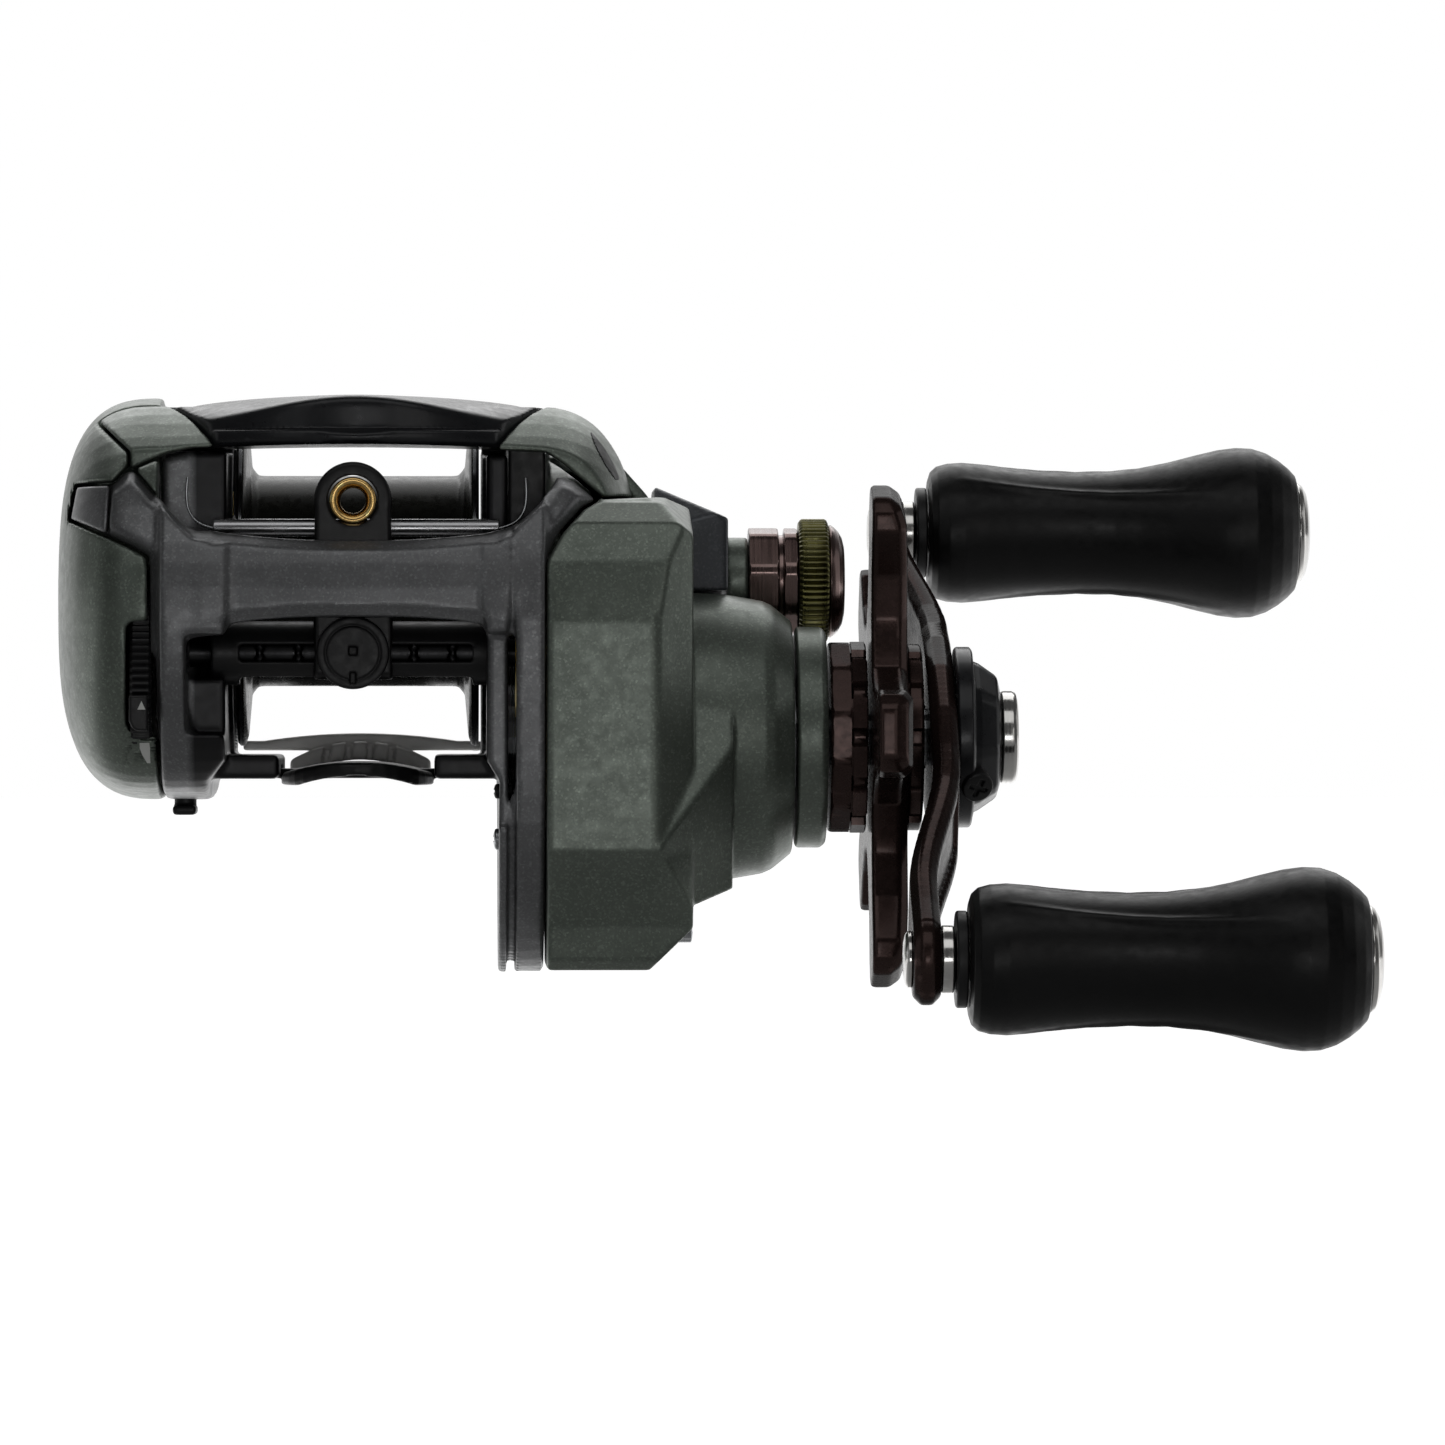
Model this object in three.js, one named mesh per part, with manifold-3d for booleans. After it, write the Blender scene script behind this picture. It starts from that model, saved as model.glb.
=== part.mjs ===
// Low-profile baitcasting reel, left-hand retrieve.
// Millimetres. +X runs from the palm side to the handle, -Y is the front (line guide), +Z is up.
// The origin is the middle of the reel foot's underside.
import * as THREE from 'three';
import { mergeVertices } from 'three/addons/utils/BufferGeometryUtils.js';
import { ConvexGeometry } from 'three/addons/geometries/ConvexGeometry.js';
import Module from 'manifold-3d';

const wasm = await Module();
wasm.setup();

// ---------------------------------------------------------------- driving dimensions
const GAP = 0.3;                  // clearance between fixed pieces that face each other
const RUN = 0.2;                  // radial clearance of a running fit

const SPOOL_Z = 18.6;             // spool axis above the foot, at Y = 0
const DRIVE_DROP = 15;            // how far the drive axis lies below the spool axis
const GEAR_MODULE = 0.41;
const GEAR_TEETH = 81;
const PINION_TEETH = 10;
const CENTRES = GEAR_MODULE * (GEAR_TEETH + PINION_TEETH) / 2;
const DRIVE_Y = -Math.sqrt(CENTRES ** 2 - DRIVE_DROP ** 2);
const DRIVE_Z = SPOOL_Z - DRIVE_DROP;

const FLANGE_R = 15.8;
const ARBOR_R = 10.1;
const SPOOL_HALF = 11.5;
const FRAME_IN = 12.2;            // inner faces of the two side plates, either side of X = 0
const PALM_OUT = -18.2;           // outer face of the palm side ring
const PLATE_OUT = 14.2;           // outer face of the gear side plate
const RIM_OUT = 17.6;             // outer edge of the gear side tray
const BAND_Y = -31;               // front face of the frame's front band

const WORM_Y = -22.5;
const WORM_Z = 11.5;
const WORM_GEAR_TEETH = 16;
const IDLE_GEAR_TEETH = 24;
const ROD_Y = -24;
const ROD_Z = 23.2;

const DIAL_Y = -21.4;
const DIAL_Z = 9.3;
const DIAL_TEETH = 26;
const RING_TEETH = 48;

const THUMB_TRAVEL = 4;           // how far the thumb bar rises when the clutch re-engages
const HANDLE_R = 42;              // crank radius, from the drive axis to a knob's axis
const HANDLE_ANGLE = 208.75;      // direction of knob 1 about the drive axis, degrees from +Y towards +Z
const KNOB_START = 56;
const STAR_R = 24.3;
const STAR_ARMS = 5;
const STAR_PHASE = 106.4;

// ---------------------------------------------------------------- materials
const material = (color, roughness, metalness) =>
  new THREE.MeshStandardMaterial({ color, roughness, metalness });
const greySatin = material(0x3a3c3d, 0.45, 0.6);
const greenSatin = material(0x28302b, 0.45, 0.6);
const blackSatin = material(0x0e0f11, 0.3, 0.3);
const brownAnodised = material(0x33241f, 0.35, 0.9);
const olive = material(0x33321b, 0.4, 0.8);
const oliveGloss = material(0x16170c, 0.25, 0.8);
const blackRubber = material(0x0a0a0b, 0.6, 0);
const greyTextured = material(0x57554f, 0.7, 0);
const blackPlastic = material(0x0c0c0c, 0.5, 0);
const silver = material(0xb9b6b2, 0.25, 1);
const steel = material(0x8d9093, 0.3, 1);
const gold = material(0xc79a4a, 0.25, 1);
const brass = material(0xb08a44, 0.35, 1);
const carbon = material(0x161616, 0.7, 0);
const bronze = material(0x6a5138, 0.45, 0.8);

// ---------------------------------------------------------------- solid helpers
const rad = (degrees) => degrees * Math.PI / 180;

function signedVolume(position, index) {
  const a = new THREE.Vector3();
  const b = new THREE.Vector3();
  const c = new THREE.Vector3();
  let sum = 0;
  for (let i = 0; i < index.length; i += 3) {
    a.fromBufferAttribute(position, index[i]);
    b.fromBufferAttribute(position, index[i + 1]);
    c.fromBufferAttribute(position, index[i + 2]);
    sum += a.dot(b.cross(c)) / 6;
  }
  return sum;
}

// A closed three.js geometry as a solid, with its faces turned outwards.
function solidOf(geometry) {
  geometry.deleteAttribute('normal');
  geometry.deleteAttribute('uv');
  const merged = mergeVertices(geometry, 1e-4);
  const index = merged.index.array;
  const triangles = [];
  for (let i = 0; i < index.length; i += 3) {
    const [a, b, c] = [index[i], index[i + 1], index[i + 2]];
    if (a !== b && b !== c && c !== a) triangles.push(a, b, c);
  }
  if (signedVolume(merged.attributes.position, triangles) < 0) triangles.reverse();
  return new wasm.Manifold(new wasm.Mesh({
    numProp: 3,
    vertProperties: new Float32Array(merged.attributes.position.array),
    triVerts: new Uint32Array(triangles),
  }));
}

const join = (first, ...rest) => rest.reduce((sum, piece) => sum.add(piece), first);
const cut = (first, ...rest) => rest.reduce((sum, piece) => sum.subtract(piece), first);

// A solid of revolution about the X axis; profile points are [x, radius].
function turned(profile, segments = 24) {
  const points = profile.map(([x, r]) => new THREE.Vector2(r, x));
  const geometry = new THREE.LatheGeometry(points, segments);
  return solidOf(geometry.rotateZ(-Math.PI / 2));
}

// A ring or a plain disc about the X axis.
function ring(x0, x1, outer, inner = 0, segments = 24) {
  if (inner === 0) return turned([[x0, 0], [x0, outer], [x1, outer], [x1, 0]], segments);
  return turned([[x0, inner], [x0, outer], [x1, outer], [x1, inner], [x0, inner]], segments);
}

// An outline pushed straight along one axis. X takes (y, z), Y takes (x, z), Z takes (x, y).
const BASES = {
  x: [new THREE.Vector3(0, 1, 0), new THREE.Vector3(0, 0, 1), new THREE.Vector3(1, 0, 0)],
  y: [new THREE.Vector3(1, 0, 0), new THREE.Vector3(0, 0, 1), new THREE.Vector3(0, -1, 0)],
  z: [new THREE.Vector3(1, 0, 0), new THREE.Vector3(0, 1, 0), new THREE.Vector3(0, 0, 1)],
};

function prism(axis, outline, from, to, holes = []) {
  const shape = new THREE.Shape(outline.map(([u, v]) => new THREE.Vector2(u, v)));
  for (const hole of holes) {
    shape.holes.push(new THREE.Path(hole.map(([u, v]) => new THREE.Vector2(u, v))));
  }
  const options = { depth: to - from, bevelEnabled: false, curveSegments: 1 };
  const geometry = new THREE.ExtrudeGeometry(shape, options);
  geometry.applyMatrix4(new THREE.Matrix4().makeBasis(...BASES[axis]));
  const start = axis === 'y' ? to : from;
  geometry.translate(axis === 'x' ? start : 0, axis === 'y' ? start : 0, axis === 'z' ? start : 0);
  return solidOf(geometry);
}

function box(x0, x1, y0, y1, z0, z1) {
  const geometry = new THREE.BoxGeometry(x1 - x0, y1 - y0, z1 - z0);
  return solidOf(geometry.translate((x0 + x1) / 2, (y0 + y1) / 2, (z0 + z1) / 2));
}

// A round bar along X, Y or Z between two positions on that axis.
function bar(axis, from, to, radius, centre, segments = 16) {
  const geometry = new THREE.CylinderGeometry(radius, radius, to - from, segments);
  const middle = (from + to) / 2;
  if (axis === 'x') geometry.rotateZ(-Math.PI / 2).translate(middle, centre[0], centre[1]);
  if (axis === 'y') geometry.translate(centre[0], middle, centre[1]);
  if (axis === 'z') geometry.rotateX(Math.PI / 2).translate(centre[0], centre[1], middle);
  return solidOf(geometry);
}

// Points round a circle, or round a part of it.
function arc(cu, cv, radius, fromDeg, toDeg, count) {
  const points = [];
  for (let i = 0; i <= count; i += 1) {
    const angle = rad(fromDeg + (toDeg - fromDeg) * i / count);
    points.push([cu + radius * Math.cos(angle), cv + radius * Math.sin(angle)]);
  }
  return points;
}

const polar = (radius, degrees) => [radius * Math.cos(rad(degrees)), radius * Math.sin(rad(degrees))];

const circle = (cu, cv, radius, count = 24) => arc(cu, cv, radius, 0, 360, count).slice(0, -1);

// A slot with round ends, upright in v.
const slot = (cu, v0, v1, radius) => [...arc(cu, v1, radius, 0, 180, 6), ...arc(cu, v0, radius, 180, 360, 6)];

// A smooth closed outline through a few points.
function smooth(points, count) {
  const corners = points.map(([u, v]) => new THREE.Vector3(u, v, 0));
  const curve = new THREE.CatmullRomCurve3(corners, true, 'centripetal');
  return curve.getPoints(count).slice(0, -1).map((p) => [p.x, p.y]);
}

// An outline moved inwards by a distance, corner by corner.
function inset(points, distance) {
  const area = points.reduce((sum, [u, v], i) => {
    const [u2, v2] = points[(i + 1) % points.length];
    return sum + u * v2 - u2 * v;
  }, 0);
  const side = Math.sign(area);
  const normal = ([u0, v0], [u1, v1]) => {
    const length = Math.hypot(u1 - u0, v1 - v0);
    return [-(v1 - v0) * side / length, (u1 - u0) * side / length];
  };
  return points.map((point, i) => {
    const before = normal(points[(i + points.length - 1) % points.length], point);
    const after = normal(point, points[(i + 1) % points.length]);
    const scale = distance / (1 + before[0] * after[0] + before[1] * after[1]);
    return [point[0] + (before[0] + after[0]) * scale, point[1] + (before[1] + after[1]) * scale];
  });
}

// The convex solid round several (y, z) outlines, each standing at its own X.
function loft(sections) {
  const points = [];
  for (const [x, outline] of sections) {
    for (const [y, z] of outline) points.push(new THREE.Vector3(x, y, z));
  }
  return solidOf(new ConvexGeometry(points));
}

// An outline scaled about a centre.
const scaled = (outline, [cu, cv], scale) => outline.map(
  ([u, v]) => [cu + (u - cu) * scale, cv + (v - cv) * scale],
);

// A spur gear outline: pointed teeth with some backlash, one tooth centred on angle phase.
function gearOutline(teeth, module_, phase, height = 1) {
  const pitch = module_ * teeth / 2;
  const points = [];
  for (let i = 0; i < teeth; i += 1) {
    const tooth = phase + 360 * i / teeth;
    points.push(polar(pitch - height * module_, tooth - 180 / teeth));
    points.push(polar(pitch + 0.8 * height * module_, tooth));
  }
  return points;
}

// ---------------------------------------------------------------- the scene graph
const reel = new THREE.Group();
const spoolAxis = new THREE.Group();
spoolAxis.position.set(0, 0, SPOOL_Z);
const driveAxis = new THREE.Group();
driveAxis.position.set(0, DRIVE_Y, DRIVE_Z);
reel.add(spoolAxis, driveAxis);

function put(parent, name, solid, look) {
  const { vertProperties, triVerts } = solid.getMesh();
  const geometry = new THREE.BufferGeometry();
  geometry.setAttribute('position', new THREE.BufferAttribute(new Float32Array(vertProperties), 3));
  geometry.setIndex(new THREE.BufferAttribute(new Uint32Array(triVerts), 1));
  geometry.computeVertexNormals();
  const mesh = new THREE.Mesh(geometry, look);
  mesh.name = name;
  parent.add(mesh);
  return mesh;
}

// ---------------------------------------------------------------- outlines of the two sides
const topOutline = [
  [24.6, 14], [22.5, 20], [18, 27], [10, 33], [0, 35.7], [-9, 35.7], [-18, 33.5], [-27, 27],
];
const palmOutline = smooth([
  [24, 1], [26, 6], ...topOutline,
  [-31, 19], [-30.8, 10], [-28.6, 4], [-24, -0.5], [-16, -2], [10, -2], [20, -1],
], 30);
const plateOutline = smooth([
  [24, 2], [26, 7], ...topOutline,
  [-30.8, 18], [-30.8, 4], [-29, -7], [-24, -14], [-16, -18], [-6, -18], [1, -13], [6, -5], [14, -1],
], 32);

// ---------------------------------------------------------------- thumb rest (hood)
const HOOD_FRONT = -26.5;
const HOOD_BACK = -12.5;
const hoodTop = [
  [-16, 35.2], [0, 35.9], [12, 35.2], [17, 34.7], [20.2, 34.3], [22.4, 33.5],
  [24, 32], [25.8, 28.2], [26, 27.2],
];
const hoodUnder = [[24.2, 27.2], [20, 29.2], [16, 30.4], [12, 30.9], [0, 31.1], [-12, 30.9], [-16, 30.8]];
const hoodBar = prism('y', [...hoodTop, ...hoodUnder], HOOD_FRONT, HOOD_BACK);
const hoodSide = prism('x', [
  [HOOD_FRONT, 24], [HOOD_FRONT, 31.5], [-24, 34.3], [-20, 36], [HOOD_BACK, 36], [HOOD_BACK, 24],
], -20, 30);
put(reel, 'thumb_rest', hoodBar.intersect(hoodSide), blackSatin);

// The room that the hood and its joint line take out of the frame and the gear side cover.
const hoodRoom = prism('y', [
  [-16 - GAP, 40], [30, 40], [30, 27.2 - GAP], [24.2, 27.2 - GAP],
  ...hoodUnder.slice(1).map(([x, z]) => [x, z - GAP]), [-16 - GAP, 32 - GAP],
], HOOD_FRONT - 6, HOOD_BACK + GAP);

// ---------------------------------------------------------------- frame
const RAIL_IN = 7.3;
const RAIL_UNDER = -0.3;
const RAIL_TOP = 1.95;
const WING_TOP = 0.6;
const WING_Y = [-9, 1];
const FOOT_SCREW_X = 9.6;
const FOOT_SCREW_Y = -4;
const SCREW_R = 0.9;
const HEAD_R = 1.7;
const YOKE_POST_R = 1;
const YOKE_REACH = 9;
const towardsPost = [DRIVE_DROP / CENTRES, DRIVE_Y / CENTRES];
const postAt = (side) => [side * YOKE_REACH * towardsPost[0], SPOOL_Z + side * YOKE_REACH * towardsPost[1]];
const BEARING_R = 5;
const THUMB_SLOT = [19.2, 22.2];
const LOCK_X = -16.4;
const LOCK_Y = -8;
const LOCK_R = 1.2;

const palmRing = prism('x', palmOutline, PALM_OUT, -FRAME_IN, [circle(0, SPOOL_Z, 16.2, 32)]);
const gearTray = cut(
  prism('x', plateOutline, FRAME_IN, RIM_OUT),
  prism('x', inset(plateOutline, 1.5), PLATE_OUT, RIM_OUT + 1),
);
const bandSection = [
  [BAND_Y + 0.8, 14.7], [BAND_Y, 15.6], [BAND_Y, 21.5],
  [BAND_Y + 1.2, 22.9], [BAND_Y + 2.6, 22.9], [BAND_Y + 2.6, 14.7],
];
const band = prism('x', bandSection, -FRAME_IN - 1, FRAME_IN + 1);
const rails = [-1, 1].map((side) => box(
  Math.min(side * RAIL_IN, side * (FRAME_IN + 0.5)), Math.max(side * RAIL_IN, side * (FRAME_IN + 0.5)),
  -20, 13, RAIL_UNDER, RAIL_TOP,
));
const yokePosts = [-1, 1].map((side) => bar('x', PLATE_OUT - 0.5, 25, YOKE_POST_R, postAt(side), 12));
const wingPockets = [-1, 1].map((side) => join(
  box(
    Math.min(side * 6, side * 11.8), Math.max(side * 6, side * 11.8),
    WING_Y[0] - GAP, WING_Y[1] + GAP, RAIL_UNDER - 1, WING_TOP + GAP,
  ),
  bar('z', 0, 1.6, SCREW_R + 0.1, [side * FOOT_SCREW_X, FOOT_SCREW_Y], 12),
));
put(reel, 'frame', cut(
  join(palmRing, gearTray, band, ...rails, ...yokePosts),
  ...wingPockets,
  hoodRoom,
  bar('x', FRAME_IN - 1, PLATE_OUT + 1, BEARING_R + 0.1, [0, SPOOL_Z], 24),
  bar('x', FRAME_IN + 0.8, PLATE_OUT + 1, BEARING_R + 0.1, [DRIVE_Y, DRIVE_Z], 24),
  bar('x', FRAME_IN - 1, PLATE_OUT + 1, 3.3, [WORM_Y, WORM_Z], 20),
  bar('x', -FRAME_IN - 4, -FRAME_IN + 1, 3.3, [WORM_Y, WORM_Z], 20),
  bar('x', -FRAME_IN - 1.4, FRAME_IN + 1.4, 1, [ROD_Y, ROD_Z], 12),
  box(FRAME_IN - 1, PLATE_OUT + 1, THUMB_SLOT[0], THUMB_SLOT[1], 1.6, 8.6),
  bar('z', -3, 1.1, LOCK_R + 0.15, [LOCK_X, LOCK_Y], 12),
), greySatin);

// ---------------------------------------------------------------- reel foot and its screws
const ARCH_R = 17.2;              // underside arch, to sit on a rod blank's seat
const footSection = [
  [-6.9, -0.87], [-6.2, -0.87], ...arc(0, -ARCH_R, ARCH_R, 109, 95, 3), [-1, 0], [1, 0],
  ...arc(0, -ARCH_R, ARCH_R, 85, 71, 3), [6.2, -0.87], [6.9, -0.87], [7.1, -0.5],
  ...arc(0, -10.6, 11.9, 58, 122, 8), [-7.1, -0.5],
];
const footSide = [[-25, -1], [-25, 0.3], [-12, 1.4], [14, 1.4], [32, 0.3], [32, -1]];
const footPlan = [
  ...arc(0, -19.5, 5.5, 205, 335, 6), [7, -12], [7, 16],
  ...arc(0, 26.6, 5.4, -25, 205, 8), [-7, 16], [-7, -12],
];
const footWings = cut(
  box(-11.5, 11.5, WING_Y[0], WING_Y[1], RAIL_UNDER, WING_TOP),
  box(-5.5, 5.5, WING_Y[0] - 1, WING_Y[1] + 1, RAIL_UNDER - 1, WING_TOP + 1),
);
put(reel, 'reel_foot', cut(
  join(
    prism('y', footSection, -25, 32)
      .intersect(prism('x', footSide, -12, 12))
      .intersect(prism('z', footPlan, -2, 3)),
    footWings,
  ),
  ...[-1, 1].map((side) => join(
    bar('z', -2, 2, SCREW_R + 0.1, [side * FOOT_SCREW_X, FOOT_SCREW_Y], 12),
    bar('z', -2, 0.15, HEAD_R + 0.1, [side * FOOT_SCREW_X, FOOT_SCREW_Y], 12),
  )),
), blackPlastic);
for (const [name, side] of [['foot_screw_left', -1], ['foot_screw_right', 1]]) {
  put(reel, name, cut(
    join(
      bar('z', -0.2, 0, HEAD_R, [side * FOOT_SCREW_X, FOOT_SCREW_Y], 12),
      bar('z', -0.1, 1.4, SCREW_R, [side * FOOT_SCREW_X, FOOT_SCREW_Y], 12),
    ),
    box(
      side * FOOT_SCREW_X - 1.2, side * FOOT_SCREW_X + 1.2,
      FOOT_SCREW_Y - 0.2, FOOT_SCREW_Y + 0.2, -1, -0.1,
    ),
  ), steel);
}

// ---------------------------------------------------------------- palm side cover and its lock
const PALM_CENTRE = [-3, 17.5];
const domeSections = (shrink) => [
  [PALM_OUT - GAP + (shrink > 0 ? 1 : 0), inset(palmOutline, shrink)],
  [-21.6 + shrink * 0.2, inset(palmOutline, shrink + 0.2)],
  [-24.6 + shrink * 0.5, scaled(inset(palmOutline, shrink), PALM_CENTRE, 0.91)],
  [-27.1 + shrink * 0.8, scaled(inset(palmOutline, shrink), PALM_CENTRE, 0.74)],
  [-28.9 + shrink, scaled(inset(palmOutline, shrink), PALM_CENTRE, 0.4)],
];
const DIAL_SLOT = 9.2;
put(reel, 'palm_side_cover', join(
  cut(
    loft(domeSections(0)),
    loft(domeSections(1.2)),
    bar('x', -21.4, -18, DIAL_SLOT, [DIAL_Y, DIAL_Z], 28),
  ),
  bar('x', -26.8, -18.9, 1.1, [DIAL_Y, DIAL_Z], 12),
), greenSatin);
put(reel, 'side_plate_lock', join(
  bar('z', -3.2, 0.6, LOCK_R, [LOCK_X, LOCK_Y], 12),
  box(LOCK_X - 1.1, LOCK_X + 1.1, LOCK_Y - 1.6, LOCK_Y + 5, -4.4, -2.9),
), blackPlastic);

// ---------------------------------------------------------------- cast brake
const dialModule = 2 * Math.hypot(DIAL_Y, SPOOL_Z - DIAL_Z) / (DIAL_TEETH + RING_TEETH);
const dialBearing = Math.atan2(DIAL_Z - SPOOL_Z, DIAL_Y) * 180 / Math.PI;
const DIAL_X = [-21, -19];
const RING_X = [-20.8, -19.4];
const dial = put(reel, 'brake_dial', cut(
  prism('x', gearOutline(DIAL_TEETH, dialModule, dialBearing + 180, 0.8), ...DIAL_X),
  bar('x', -22, -18, 1.3, [0, 0], 16),
), blackPlastic);
dial.position.set(0, DIAL_Y, DIAL_Z);
const HOUSING_X = -18;
put(spoolAxis, 'brake_housing', turned([
  [HOUSING_X, 4.3], [HOUSING_X, 15.6], [-16.8, 15.6], [-16.8, 5.4],
  [-14, 5.4], [-14, 4.1], [-17.2, 4.1], [-17.2, 2],
  [-18.6, 2], [-18.6, 4.3], [HOUSING_X, 4.3],
], 24), blackPlastic);
put(spoolAxis, 'brake_ring', prism(
  'x', gearOutline(RING_TEETH, dialModule, dialBearing + 180 / RING_TEETH, 0.8), ...RING_X,
  [circle(0, 0, 13.4, 24)],
), blackPlastic);
put(spoolAxis, 'brake_race', ring(-16.4, -13, 10.4, 9.4, 24), brass);
put(spoolAxis, 'palm_bearing', ring(-17, -14.4, 4, 1.6, 16), steel);
const SHOES = 4;
const shoeHolder = ring(-13.6, -11.8, 6.4, 1.7, 24);
const shoeSlots = [];
for (let i = 0; i < SHOES; i += 1) {
  shoeSlots.push(solidOf(new THREE.BoxGeometry(4, 2, 4).rotateX(rad(360 * i / SHOES)).translate(
    -12.7, -7 * Math.sin(rad(360 * i / SHOES)), 7 * Math.cos(rad(360 * i / SHOES)),
  )));
}
put(spoolAxis, 'brake_shoe_holder', cut(shoeHolder, ...shoeSlots), blackPlastic);
for (let i = 0; i < SHOES; i += 1) {
  const shoe = put(spoolAxis, `brake_shoe_${i + 1}`, box(-13.4, -12, -0.85, 0.85, 5.3, 8.6), brass);
  shoe.rotation.x = rad(360 * i / SHOES);
}

// ---------------------------------------------------------------- spool, its shaft and bearings
put(spoolAxis, 'spool', turned([
  [-SPOOL_HALF, FLANGE_R - 0.3], [-SPOOL_HALF + 0.3, FLANGE_R],
  [-SPOOL_HALF + 0.7, FLANGE_R], [-10.2, ARBOR_R + 0.5],
  [-9.4, ARBOR_R], [9.4, ARBOR_R], [10.2, ARBOR_R + 0.5],
  [SPOOL_HALF - 0.7, FLANGE_R], [SPOOL_HALF - 0.3, FLANGE_R],
  [SPOOL_HALF, FLANGE_R - 0.3], [11, 9.2], [1, 9], [1, 2.8], [11, 2.8], [11, 1.7], [-11, 1.7], [-11, 2.8],
  [-1, 2.8], [-1, 9], [-11, 9.2], [-SPOOL_HALF, FLANGE_R - 0.3],
], 26), oliveGloss);
const PIN_X = 16;
const SHAFT_R = 1.5;
const SHAFT_THIN = 0.95;
put(spoolAxis, 'spool_shaft', cut(
  turned([
    [-17.7, 0], [-17.7, 0.8], [-17, SHAFT_R], [16.9, SHAFT_R], [16.9, SHAFT_THIN], [37.8, SHAFT_THIN],
    [38.3, 0.5], [38.3, 0],
  ], 16),
  bar('z', -3, 3, 0.62 + 0.1, [PIN_X, 0], 10),
), steel);
put(spoolAxis, 'spool_pin', bar('z', -2.4, 2.4, 0.6, [PIN_X, 0], 10), steel);
put(spoolAxis, 'gear_side_bearing', ring(12.4, 14.4, BEARING_R, 1.7, 20), steel);
put(spoolAxis, 'friction_disc', ring(38.6, 39.6, 2.6, 0, 16), brass);

// ---------------------------------------------------------------- level wind
const WORM_R = 2.1;
const GUARD_R = 3;
const wormModule = 2 * Math.hypot(WORM_Y - DRIVE_Y, WORM_Z - DRIVE_Z) / (WORM_GEAR_TEETH + IDLE_GEAR_TEETH);
const wormBearing = Math.atan2(WORM_Z - DRIVE_Z, WORM_Y - DRIVE_Y) * 180 / Math.PI;
const worm = new THREE.Group();
worm.position.set(0, WORM_Y, WORM_Z);
reel.add(worm);
put(worm, 'worm_shaft', turned([
  [-15.6, 0], [-15.6, 1.3], [-11.6, 1.3], [-11.6, WORM_R], [11.6, WORM_R], [11.6, 1.3], [17, 1.3], [17, 0],
], 16), steel);
put(worm, 'worm_gear', prism(
  'x', gearOutline(WORM_GEAR_TEETH, wormModule, wormBearing + 180), 14.9, 16.6, [circle(0, 0, 1.5, 12)],
), brass);
put(worm, 'worm_guard', cut(
  ring(-13.6, 13.6, GUARD_R, GUARD_R - 0.6, 20),
  box(-10.9, 10.9, -4, 0, -1.25, 1.25),
), blackPlastic);
put(reel, 'guide_rod', bar('x', -FRAME_IN - 1.2, FRAME_IN + 1.2, 0.85, [ROD_Y, ROD_Z], 12), steel);

// The line guide block slides on the worm guard and the guide rod.
const GUIDE_WIDTH = 7.4;
const GUIDE_EYE_Z = 25.7;
const GUIDE_FRONT = -27.9;
const GUIDE_BACK = -21.4;
const EYE_R = 3.6;
const half = GUIDE_WIDTH / 2;
const guideFace = [
  [-half, 9], [half, 9], [half, 18], [EYE_R, GUIDE_EYE_Z], ...arc(0, GUIDE_EYE_Z, EYE_R, 15, 165, 8),
  [-EYE_R, GUIDE_EYE_Z], [-half, 18],
];
const guideSide = [
  [-26, 9.6], [-24.4, 7.6], [-19.2, 7.6], [-18.4, 9], [-18.4, 14.4], [GUIDE_BACK, 17], [GUIDE_BACK, 30],
  [GUIDE_FRONT, 30], [GUIDE_FRONT, 15.3], [-26, 15.2],
];
put(reel, 'line_guide', cut(
  prism('y', guideFace, -30, -15).intersect(prism('x', guideSide, -5, 5)),
  bar('x', -6, 6, GUARD_R + RUN, [WORM_Y, WORM_Z], 20),
  bar('x', -6, 6, 0.85 + RUN, [ROD_Y, ROD_Z], 12),
  bar('y', -30, -15, 1.5, [0, GUIDE_EYE_Z], 16),
  bar('y', -30, -24.9, 2.35, [0, GUIDE_EYE_Z], 20),
  bar('y', -27, -25.2, 2, [0, WORM_Z], 16),
), blackSatin);
const eye = put(reel, 'guide_ring', turned([
  [0, 1.5], [0.5, 1.2], [3, 1.2], [3, 2.1], [0.4, 2.2], [0, 2.1], [0, 1.5],
], 20), gold);
eye.position.set(0, -28.2, GUIDE_EYE_Z);
eye.rotation.z = Math.PI / 2;
put(reel, 'pawl', join(
  bar('y', -26.1, -25.2, 1.5, [0, WORM_Z], 12),
  box(-0.9, 0.9, -25.4, -24.75, WORM_Z - 0.5, WORM_Z + 0.5),
), brass);
put(reel, 'pawl_cap', cut(
  bar('y', -27.8, -26.3, 3.4, [0, WORM_Z], 24),
  box(-0.35, 0.35, -29, -27.3, WORM_Z - 2, WORM_Z + 2),
), blackPlastic);

// ---------------------------------------------------------------- drive shaft, gears and drag
const gearAngle = Math.atan2(SPOOL_Z - DRIVE_Z, -DRIVE_Y) * 180 / Math.PI;
const GEAR_X = [22, 25];
const SHAFT = 2.7;
put(driveAxis, 'drive_shaft', turned([
  [13.4, 0], [13.4, 1.8], [15.3, 1.8], [15.3, SHAFT], [20, SHAFT], [20, 4.4],
  [21, 4.4], [21, SHAFT], [57, SHAFT],
  [57, 0],
], 20), steel);
put(driveAxis, 'drive_shaft_bearing', ring(13.2, 15, BEARING_R, 2, 20), steel);
put(driveAxis, 'idle_gear', prism(
  'x', gearOutline(IDLE_GEAR_TEETH, wormModule, wormBearing + 180 / IDLE_GEAR_TEETH), 15.6, 17,
  [circle(0, 0, 2.9, 16)],
), brass);
const ratchet = [];
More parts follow.
